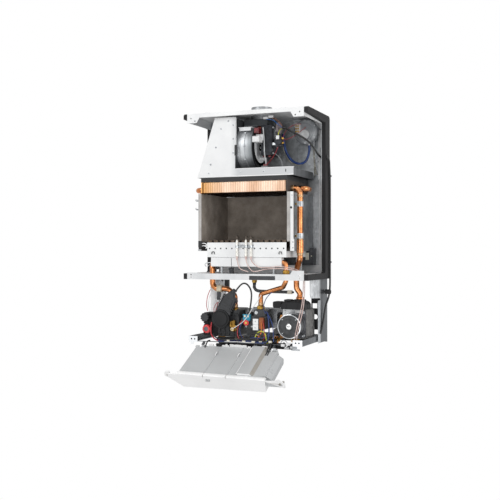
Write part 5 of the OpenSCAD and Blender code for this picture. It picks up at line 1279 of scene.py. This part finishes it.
# Low-voltage wiring: PVC-covered wires 2.4 to 4.6 mm across, laid along the front bar of the chassis and tied
# there in a loose bundle, with looped tails to the valves and ivory nylon plugs at their ends.
orange_pvc = jacket("orange PVC cover", "#B4501A", "#DE7A34")
white_pvc = jacket("white PVC cover", "#C9CACB", "#ECECEC")
wires = bmesh.new()
covers = [red_pvc, jacket("navy PVC cover", "#14244F", "#24407E"), earth_pvc, black_pvc, orange_pvc,
          white_pvc, ivory_plastic]
laid(wires, (
    ([(-125.4, -222, 68), (-124.5, -230, 46), (-120, -232, 26), (-104, -230, 12), (-84, -228, 9.3),
      (-44, -228, 9.3), (-2, -228, 9.3)], 2.2, 0),
    ([(62.4, -204, 104), (70, -216, 84), (76, -226, 56), (76.6, -232, 28), (70, -233, 13), (58, -233, 9.3),
      (10, -233, 9.3), (-60, -233, 9.3), (-98, -233, 9.3)], 2.2, 1),
    ([(30, -228, 7.5), (31, -229, 26), (38, -229.5, 40), (52, -229.5, 46), (64, -230, 38), (68, -230, 22),
      (70, -227.5, 7.6)], 1.8, 2),
    ([(6, -228, 7.7), (8, -232, 22), (18, -233, 34), (32, -233.4, 40), (46, -233, 34), (54, -232, 22),
      (58, -228, 8)], 2.0, 3),
    ([(48, -222, 74), (52, -228, 60), (50, -230, 40), (40, -230, 24), (30, -229, 12), (20, -228, 9)], 1.5,
     4),
    ([(53, -222, 80), (60, -230, 62), (62, -231, 40), (60, -230, 20), (50, -228, 9.5)], 1.4, 0),
    ([(-14, -219, 74), (-22, -228, 58), (-20, -232, 36), (-8, -231, 18), (8, -229, 9.6)], 1.5, 1),
    ([(-18, -219, 78), (-28, -228, 60), (-30, -232, 34), (-22, -231, 16), (-10, -229, 9.4)], 1.3, 0),
    ([(-100, -228, 13), (-60, -229, 13.6), (-20, -230, 13.4), (20, -230, 13.2), (64, -229, 12.6)], 1.9, 1),
    ([(-96, -225, 12.4), (-50, -226, 13.2), (0, -226, 13.4), (44, -226, 12.8)], 1.7, 0),
    ([(-90, -231, 9), (-60, -235.6, 9), (-30, -235, 9.5), (0, -235, 9), (30, -233.6, 9.4)], 1.4, 5),
    ([(-60, -224, 9.3), (-20, -223, 10.4), (20, -223, 10.2), (72, -225, 8.2)], 1.5, 2),
    ([(-52, -224, 50), (-44, -232, 52), (-30, -236, 60), (-10, -235, 74), (6, -234, 92), (20, -230, 116),
      (34, -218, 140), (44, -213, 160)], 1.2, 5),
    ([(58, -206, 108), (72, -214, 92), (86, -222, 66), (92, -230, 38), (94, -233, 14)], 1.5, 1),
    ([(-136, -209, 174), (-144, -214, 150), (-146, -216, 122), (-143, -214, 104)], 1.2, 0),
    ([(-130, -210, 172), (-137, -215, 146), (-139, -216, 118), (-137, -213, 102)], 1.2, 5),
    ([(-118, -226, 30), (-104, -233, 20), (-80, -234, 15.5), (-40, -233, 16.4), (0, -232, 17),
      (40, -231, 16), (80, -229, 14)], 2.3, 3),
    ([(-30, -226, 30), (-24, -231, 22), (-4, -234, 20), (20, -233, 21), (44, -231, 18), (60, -228, 12)],
     2.0, 3),
    ([(76, -226, 40), (66, -230, 28), (50, -232, 24), (30, -231, 24.5), (12, -229, 22)], 1.8, 1),
    ([(126, -207.4, 196), (90, -206, 178), (62, -212, 150), (52, -213, 118), (60, -212, 100)], 1.3, 1),
), 5)
for low, high in (((20, -236, 8.4), (31, -228, 14)), ((-12, -236, 9), (-2, -229, 14.6)),
                  ((-66, -236, 10), (-56, -230, 15)), ((44, -232, 9), (54, -225, 14.4)),
                  ((78, -236, 10), (88, -229, 17)), ((-40, -232, 14), (-30, -225, 18.6))):
    bar(wires, low, high, 6)
for x in (-74, -30, 34, 62):
    turned(wires, (x, -228.8, 10.6), RIGHT, [(0, 6.2), (0.4, 6.6), (2, 6.6), (2.4, 6.2)], 20, 3)
piece("low_voltage_wires", wires, covers, "chassis", stands_for=["lower_harness"], edge=0.4)

# Clip-on temperature sensor on the left pipe: a beige nylon saddle with a black plug.
beige = finish("beige nylon", "#B5AA92", "#D3C9B2", 10, (0.4, 0.55), grain=0.7, depth=0.03)
sensor_clip = bmesh.new()
turned(sensor_clip, (-112, -200, 177.4), RIGHT, [(0, 9.2), (0, 11.4), (0.8, 12), (15.2, 12), (16, 11.4),
                                                 (16, 9.2)])
bars(sensor_clip, (
    ((-112, -213.4, 166), (-97, -209, 188)), ((-109, -216, 150), (-98, -208, 168), 1),
    ((-110, -215, 141), (-100, -208, 151), 1),
))
turned(sensor_clip, (-105, -212, 134), UP, [(0, 4), (0.6, 4.8), (6, 4.8), (6.6, 4)], 6, 4)
laid(sensor_clip, (
    ([(-107, -212, 135), (-115, -213, 126), (-121, -214, 112), (-120, -213, 100)], 1.1, 3),
    ([(-104, -212, 135), (-108, -214, 127), (-109, -216, 118), (-114, -217, 104)], 1.1, 3),
), 5)
piece("pipe_sensor_clip", sensor_clip, [beige, box_plastic, brown_pvc, red_pvc, white_pvc], "chassis",
      edge=0.5)

# Black sheathed cables: the loop from the diverter motor, and the fan's cable, which leaves through a
# rubber grommet in the right wall, runs down the outside of the foam and comes in again at the bottom.
cables = bmesh.new()
swept(cables, eased([(-42, -217, 167.6), (-37, -216, 178), (-22, -212, 194), (-8, -210, 194),
                     (4, -208, 180), (9, -208, 160), (6, -207, 130), (1, -205, 106), (0.6, -204, 92.9)], 6),
                     2.6, 12)
outer = [(110, -170, 695.8), (118, -140, 687.8), (142, -104, 673.8), (168, -86, 651.8), (184, -66, 621.8),
         (192, -54, 609.8), (200, -54, 607.8), (215, -54, 606.8), (219.6, -49, 598.8), (218.2, -40, 581.8),
         (216.6, -30, 547.8),
         (216.6, -28, 517), (216.6, -28, 377), (216.6, -28, 261), (216.6, -32, 167), (206.6, -44, 117),
         (202.6, -60, 67), (202.6, -86, 31)]
swept(cables, eased(outer, 6), 3.2, 14)
turned(cables, (102, -170, 695.8), RIGHT, [(0, 5.2), (0.6, 5.6), (8, 5.6), (9.4, 4.4), (10, 3.4)], 24)
for x, h in ((196, 3.4), (213.2, 3.6)):
    turned(cables, (x, -54, 607.6), RIGHT, [(0, 3.4), (0, 8.4), (1.2, 9), (h, 8.6), (h + 0.4, 3.4)], 28, 1)
for z in (548, 263):
    bar(cables, (212.6, -33, z - 3), (221, -23, z + 3), 2)
    bar(cables, (213, -36, z - 1.4), (219, -20, z + 1.4), 2)
turned(cables, (213, -32, 165), RIGHT, [(-11, 5), (-11, 8), (6.6, 8), (7, 7), (7, 5)], 28, 1)
bar(cables, (200.2, -38, 161), (220, -26, 169), 1)
piece("black_sheathed_cables", cables, [black_pvc, rubber, box_plastic], "chassis",
      stands_for=["black_cables"], edge=0.5)

# Cables from the chassis into the panel: three black leads that bend where the panel folds down.
for number, x in enumerate((-130, 84, 90)):
    fold = bmesh.new()
    swept(fold, eased([(x, -225, 9.3), (x, -236, 9.3), (x, -243, 8), (x, -251, 2), (x, -259, -7),
                       (x, -268.6, -18.6), (x, -279.2, -24)], 8), 2.2, 14)
    lead = piece("panel_lead_%d" % (number + 1), fold, [black_pvc], None,
                 stands_for=["panel_harness"])
    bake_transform(lead)

# Control panel, folded down on its hinge: an injection-moulded ABS box. The light grey back cover faces
# up. It is smooth, lifts a little towards its left, and has two thin division ribs with a peg on each, a
# broad raised ramp, and a flat beside it. Painted shade darkens the ramp's right flank and one side of
# each rib and peg, and the ramp's left flank and front end are painted white as painted highlight. The
# white front strip is at its free edge.
panel_grey = finish("light grey ABS", "#B6B8B9", "#BEC0C1", 120, (0.46, 0.52), grain=0.9, depth=0.012)
panel_white = finish("white ABS", "#ECECEC", "#F4F4F4", 120, (0.32, 0.38), grain=0.9, depth=0.01)
# Two greys of painted shade: warm for the ramp's flank and the ears, mid for the sides of the ribs.
panel_shade = finish("warm grey ABS, painted shade", "#97938C", "#A5A19A", 60, (0.46, 0.54), grain=0.9,
                     depth=0.01)
rib_painted_shade = finish("mid grey ABS, painted shade of the ribs", "#9FA1A2", "#A8AAAB", 60, (0.46, 0.54), grain=0.9,
                   depth=0.01)
pale_blue = finish("pale blue nylon", "#93A9C2", "#BACBDD", 10, (0.35, 0.5), grain=0.7, depth=0.02)
dress(panel_grey, "panel_cover")
dress(panel_white, "panel_fascia")


def hinge_at(x):
    """A point on the panel's hinge"""
    return (x, -246, -10)


# The panel hangs 27 degrees below level. Its own Y runs from the hinge to the free edge, and its own Z out
# of the back. The back cover lies 4.9 mm out at the middle and rises by LIFT for each millimetre leftwards.
OPENING = math.radians(27)
LIFT = 0.0215
folded = Matrix.Translation(hinge_at(0)) @ Matrix.Rotation(OPENING, 4, "X") @ Matrix.Scale(-1, 4, BACK)
lifted = folded @ Matrix(((1, 0, 0, 0), (0, 1, 0, 0), (-LIFT, 0, 1, 4.9), (0, 0, 0, 1)))


def on_panel(x, y, z):
    """A point given in the panel's own frame"""
    return folded @ Vector((x, y, z))


lid = bmesh.new()


def rib(form, outline, low, high, paint=0, turn=lifted):
    """An outline of the panel's section, pushed out from the hinge towards the free edge"""
    pushed(form, outline, "y", low, high, paint, turn)


rib(lid, [(-162, -22), (-162, 1), (120, 1), (120, -22)], 12, 150, 0, folded)
rib(lid, [(-162, -4), (-162, -0.6), (-160.6, 0), (108, 0), (114, -1.2), (116, -4)], 12, 150.6)
for low, high in ((-165, -153), (-133, 93), (111, 116)):
    rib(lid, [(low, -3), (low, 0), (high, 0), (high, -3)], 4, 12.5)
# Each rib and its peg have one side in the mid grey of painted shade.
for x in (-76, 0):
    rib(lid, [(x - 1.6, -0.4), (x + 1.6, -0.4), (x + 0.5, 1.1), (x - 0.5, 1.1)], 4, 150)
    rib(lid, [(x + 0.7, -0.4), (x + 2.6, -0.4), (x + 0.7, 1.0)], 4, 150, 3)
    bar(lid, (x - 1.7, 40, -0.4), (x + 1.3, 56, 4.9), 2, lifted)
    bar(lid, (x + 1.3, 40.4, -0.4), (x + 2.1, 55.6, 4.4), 3, lifted)
for low, high in ((12, 146), (-4, 12.5)):
    rib(lid, [(25, -0.6), (31, 5.4), (33, 5.8), (69, 5.8), (71, 5.4), (79, -0.6)], low, high)
# The ramp's right flank is painted shade; its left flank and front end are painted white as highlight.
rib(lid, [(71.2, 5.2), (79.6, -1), (83, 0.3), (80, 1), (72.4, 6)], -3, 145, 1)
rib(lid, [(25.4, -0.6), (31.2, 5.2), (30.8, 5.9), (24, -0.6)], -3, 145, 2)
rib(lid, [(31, 0), (31, 5.5), (71, 5.5), (76, 0)], 145.9, 147.4, 2)
rib(lid, [(-160, -0.4), (118, -0.4), (118, 0.5), (-160, 0.5)], 142, 144)
rib(lid, [(117, 0), (121, -1.4), (136, -14), (137, -18), (134, -34), (123.3, -34), (123.3, -22),
          (117, -22)], 22, 138, 0, folded)
for u in (96, 108):
    rib(lid, [(124, -3.4), (131, -9.4), (131.6, -8.8), (124.6, -2.8)], u, u + 3, 0, folded)
for x in (-146.7, 99.3):
    turned(lid, hinge_at(x), RIGHT, [(0, 3.1), (0, 6), (8, 6), (8, 3.1)], 28)
    bar(lid, (x, 0, -6), (x + 8, 13, -1), 0, folded)
piece("panel_cover_lid", lid, [panel_grey, panel_shade, panel_white, rib_painted_shade], "control_panel",
      stands_for=["panel_cover"], edge=0.5)

# Along the lid's hinge side stand low white plates, pale blue buttons, black clips and two bright prongs.
rear_bits = bmesh.new()
bars(rear_bits, (
    ((-121, -1, -3), (-104, 4, 5), 0), ((-115, -2.4, 1), (-107, -0.8, 4.4), 1), ((-95, -3, -2), (-78, 4, 8),
            2),
    ((-74, 1, -2), (-50, 3.4, 5), 0), ((-47, 0, -2), (10, 2.6, 9), 0), ((14, 1, -2), (24, 3.4, 6), 0),
    ((60, -6, 0), (78, -3.6, 7), 0), ((63, -7.4, 2), (73, -5.8, 6), 1), ((84, -1, -2), (92, 4, 9), 2),
    ((-62, -1, 4), (-56, 3, 8), 0), ((-34, -2, 7), (-28, 2, 10), 2), ((-8, -2, 7), (-2, 2, 10), 2),
), lifted)
for x in (36, 42):
    bar(rear_bits, (x, -4, -1), (x + 1.6, -2.6, 10), 3, lifted)
piece("panel_rear_clips", rear_bits, [panel_white, pale_blue, cap_black, screw_zinc], "control_panel",
      edge=0.4)

# Free edge of the panel: the white strip with an embossed latch, snap hooks and two corner ears.
strip_parts = bmesh.new()
for low, high in ((-206, -166), (-166, -77), (-74, -2), (1, 126)):
    along = [(150.4, -3), (151.2, 1.2), (153, 2), (162.4, 2.2), (165.4, 0.4), (165.4, -12), (163, -12),
             (163, -3)]
    if low < -170:
        along = [(160, -9), (160, -3), (162.4, -1), (165.4, -2), (165.4, -12), (163, -12)]
    pushed(strip_parts, along, "x", low, high, 0, lifted)
bar(strip_parts, (-206, 163.2, -3), (126, 165.2, 0.9), 0, folded)
for x in (-75.6, -0.6):
    bar(strip_parts, (x, 152, -2), (x + 1.2, 164.6, 1.6), 0, lifted)
rim = folded.to_3x3() @ Vector(BACK)
turned(strip_parts, on_panel(-64, 164.6, -8), rim, [(0, 4.6), (1, 4.4), (1.2, 3.2), (0.8, 3), (0.8, 0)], 28,
       2)
bar(strip_parts, (-58, 164.8, -12), (-54, 166, -4), 2, folded)
bar(strip_parts, (-70, 164.8, -13.4), (-56, 165.6, -12.4), 2, folded)
# The ears' screw rings, and two bars at the right ear, are in the warm grey of painted shade.
for x in (-198, 172):
    turned(strip_parts, on_panel(x, 158, 2 if x < 0 else -8), rim, [(0, 3.6), (7.4, 3.6), (7.6, 2.2),
            (6, 2), (6, 0)], 20, 1)
    bar(strip_parts, (x - 5, 157, -6 if x < 0 else -14), (x + 7, 163, 0 if x < 0 else -8), 2, folded)
bars(strip_parts, (
    ((127, 159.6, -20), (186, 162, -5), 2), ((178, 154, -14), (184, 162, -2), 1),
    ((140, 161.6, -9), (170, 163, -7.6), 1),
), folded)
piece("panel_front_edge", strip_parts, [panel_white, panel_shade, panel_grey], "control_panel",
      edge=0.4)

# Front of the panel, hidden underneath while it is open: a silver-grey band with scale marks round both
# knobs, a white ring round the gauge's printed scale, and two bars beside the reset button.
band = finish("silver-grey print film", "#8F9395", "#B3B6B8", 30, (0.3, 0.42), grain=0.8, depth=0.01)
ink = finish("charcoal print", "#2C2E31", "#3C3F43", 8, (0.5, 0.6), grain=0.8, depth=0.005)
front = bmesh.new()
for low, high in (((-140, 62), (-15, 134)), ((5, 62), (114, 134)), ((-15, 62), (5, 70)),
                  ((-15, 82), (5, 134))):
    bar(front, (*low, -39.35), (*high, -39), 0, folded)
outward = folded.to_3x3() @ Vector(DOWN)
KNOBS = {"heating": -70, "water": 50}
for x in KNOBS.values():
    for i in range(19):
        a = math.radians(-135 + 15 * i)
        turn = folded @ Matrix.Translation((x, 90, -39.5)) @ Matrix.Rotation(a, 4, "Z")
        bar(front, (-0.5, -27, -0.1), (0.5, -22.5 if i % 3 else -21, 0.3), 1, turn)
turned(front, on_panel(-10, 112, -39), outward, [(0, 20), (0.8, 20), (1.2, 18.4), (0.6, 17.4), (0, 17.2)],
       64, 2)
for i in range(17):
    a = math.radians(-120 + 15 * i)
    turn = folded @ Matrix.Translation((-10, 112, -37.75)) @ Matrix.Rotation(a, 4, "Z")
    bar(front, (-0.3, -16, -0.1), (0.3, -13.6, 0.1), 1, turn)
bar(front, (-17, 68, -39.9), (7, 70.6, -39), 2, folded)
bar(front, (-17, 81.4, -39.9), (7, 84, -39), 2, folded)
piece("panel_front_band", front, [band, ink, panel_white], "control_panel", edge=0.15)

# Knobs: satin silver-grey ABS caps with fluted sides, a domed face and a dark pointer line.
knob_grey = finish("silver-grey ABS", "#83878A", "#ABAFB2", 20, (0.28, 0.4), grain=0.7, depth=0.02)
for name, x in KNOBS.items():
    knob = bmesh.new()
    foot = on_panel(x, 90, -39.5)
    fluted(knob, foot, outward, [(0, 0.97), (0.6, 1), (12, 0.95), (13.8, 0.9), (14.4, 0.82), (14.6, 0.4)],
           19, 0.8, 20, 0)
    bar(knob, (x - 1, 91, -54.2), (x + 1, 107, -53.6), 1, folded)
    turned(knob, on_panel(x, 90, -31), outward, [(0, 3), (9, 3)], 24)
    piece("knob_%s_cap" % name, knob, [knob_grey, ink], "knob_%s" % name,
          stands_for=["knob_%s" % name])

# Reset button, a small grey key with a raised pad, and the red pointer of the gauge.
key = bmesh.new()
bar(key, (-13.9, 71.1, -41.9), (3.9, 80.9, -31), 0, folded)
bar(key, (-12.4, 72.4, -42.1), (2.4, 79.6, -41.6), 0, folded)
turned(key, on_panel(-5, 76, -31), folded.to_3x3() @ Vector(UP), [(0, 4), (3, 4)], 20)
piece("reset_key", key, [grey_plastic], "reset_button", stands_for=["reset_button"], edge=0.6)
needle = bmesh.new()
pushed(needle, [(-11.2, 106), (-8.8, 106), (-9.6, 125), (-10.4, 125)], "z", -38.6, -38.15, 0, folded)
turned(needle, on_panel(-10, 112, -35.4), outward, [(0, 1), (2.6, 1), (2.6, 3), (3.2, 2.8), (3.2, 0)], 24)
piece("gauge_needle", needle, [red_plastic], "gauge_pointer", stands_for=["gauge_pointer"])

# At the front right, beside the panel, hang the plugs and loops of the panel's own wires.
plugs = bmesh.new()
bars(plugs, (
    ((120, -238, 1), (132, -230, 9), 0), ((136, -237, 5), (149, -229, 13), 0),
    ((150, -236, -4), (158, -230, 3), 1),
    ((126, -236, 9), (131, -231, 14), 2), ((132, -236, -6), (146, -231, -1), 1),
    ((108, -233, 3), (122, -229, 7), 2),
))
laid(plugs, (
    ([(118, -232, 12), (124, -237, 19), (134, -237, 20), (141, -234, 12)], 1.5, 1),
    ([(131, -236, -4), (140, -238, 3), (150, -237, 11), (160, -235, 13), (168, -234, 8)], 1.5, 0),
    ([(146, -234, 1), (156, -236, 6), (164, -234, 1)], 1.5, 2),
), 6)
piece("front_wire_plugs", plugs, [plain_label, strap_grey, box_plastic], "chassis",
      edge=0.5)

# Hinge of the panel: steel pins in the two folded brackets, with plastic lugs beside them.
hinge = bmesh.new()
for x in (-150, 96):
    turned(hinge, hinge_at(x - 1.4), RIGHT, [(0, 4.2), (0.4, 4.6), (1.2, 4.6), (1.4, 3)], 24)
    turned(hinge, hinge_at(x + 13.6), RIGHT, [(0, 3), (0.2, 3.9), (1, 3.9), (1.4, 3.2)], 24)
piece("panel_hinge_pins", hinge, [screw_zinc], "chassis")

# White background with nothing else in view. Rays from the camera, and those that a mirror or clear face
# sends on, see it at full white.
world = bpy.data.worlds.new("white studio")
bpy.context.scene.world = world
world.use_nodes = True
tree = world.node_tree
path = add(tree, "ShaderNodeLightPath", {})
seen = add(tree, "ShaderNodeMath", {0: path.outputs["Is Camera Ray"], 1: path.outputs["Is Glossy Ray"]},
           operation="MAXIMUM")
seen = add(tree, "ShaderNodeMath", {0: seen.outputs[0], 1: path.outputs["Is Transmission Ray"]},
           operation="MAXIMUM")
level = add(tree, "ShaderNodeMapRange", {"Value": seen.outputs[0], "To Min": 0.42, "To Max": 1.0})
tree.links.new(level.outputs[0], tree.nodes["Background"].inputs["Strength"])
tree.nodes["Background"].inputs["Color"].default_value = (1, 1, 1, 1)

# Lamps: a large soft key from the front left and above, a fill from the front right, a low one that
# reaches under the hood and into the hydraulics, one above, and one from the open right side. Each row has
# the place and the size in metres and the power in watts, and each lamp faces the middle of the boiler.
MIDDLE = (0, -0.15, 0.35)
LAMPS = (
    ("key", (-1.3, -2.6, 2.0), 1.6, 34),
    ("fill", (0.75, -2.5, 0.5), 0.9, 7),
    ("low", (0.2, -2.4, -0.8), 1.4, 14),
    ("top", (0.2, -0.4, 2.4), 1.6, 12),
    ("side", (2.6, -0.9, 0.6), 1.2, 20),
)
for name, at, size, watts in LAMPS:
    light = bpy.data.lights.new(name, "AREA")
    light.shape = "SQUARE"
    light.size = size
    light.energy = watts
    lamp = bpy.data.objects.new("lamp_" + name, light)
    lamp.location = at
    lamp.rotation_euler = (Vector(MIDDLE) - Vector(at)).to_track_quat("-Z", "Y").to_euler()
    bpy.context.scene.collection.objects.link(lamp)

# Camera at the photograph's height and side, about 2.9 m away, turned to the left by so many degrees.
CAMERA_PLACE = (1.01913, -2.69554, 0.30305)
CAMERA_TURN = 22.2033
lens = bpy.data.cameras.new("camera")
lens.sensor_width = 36
lens.lens = 60.26
camera = bpy.data.objects.new("camera", lens)
camera.location = CAMERA_PLACE
camera.rotation_euler = (math.radians(90), 0, math.radians(CAMERA_TURN))
bpy.context.scene.collection.objects.link(camera)
bpy.context.scene.camera = camera
bpy.context.scene.view_settings.view_transform = "Standard"
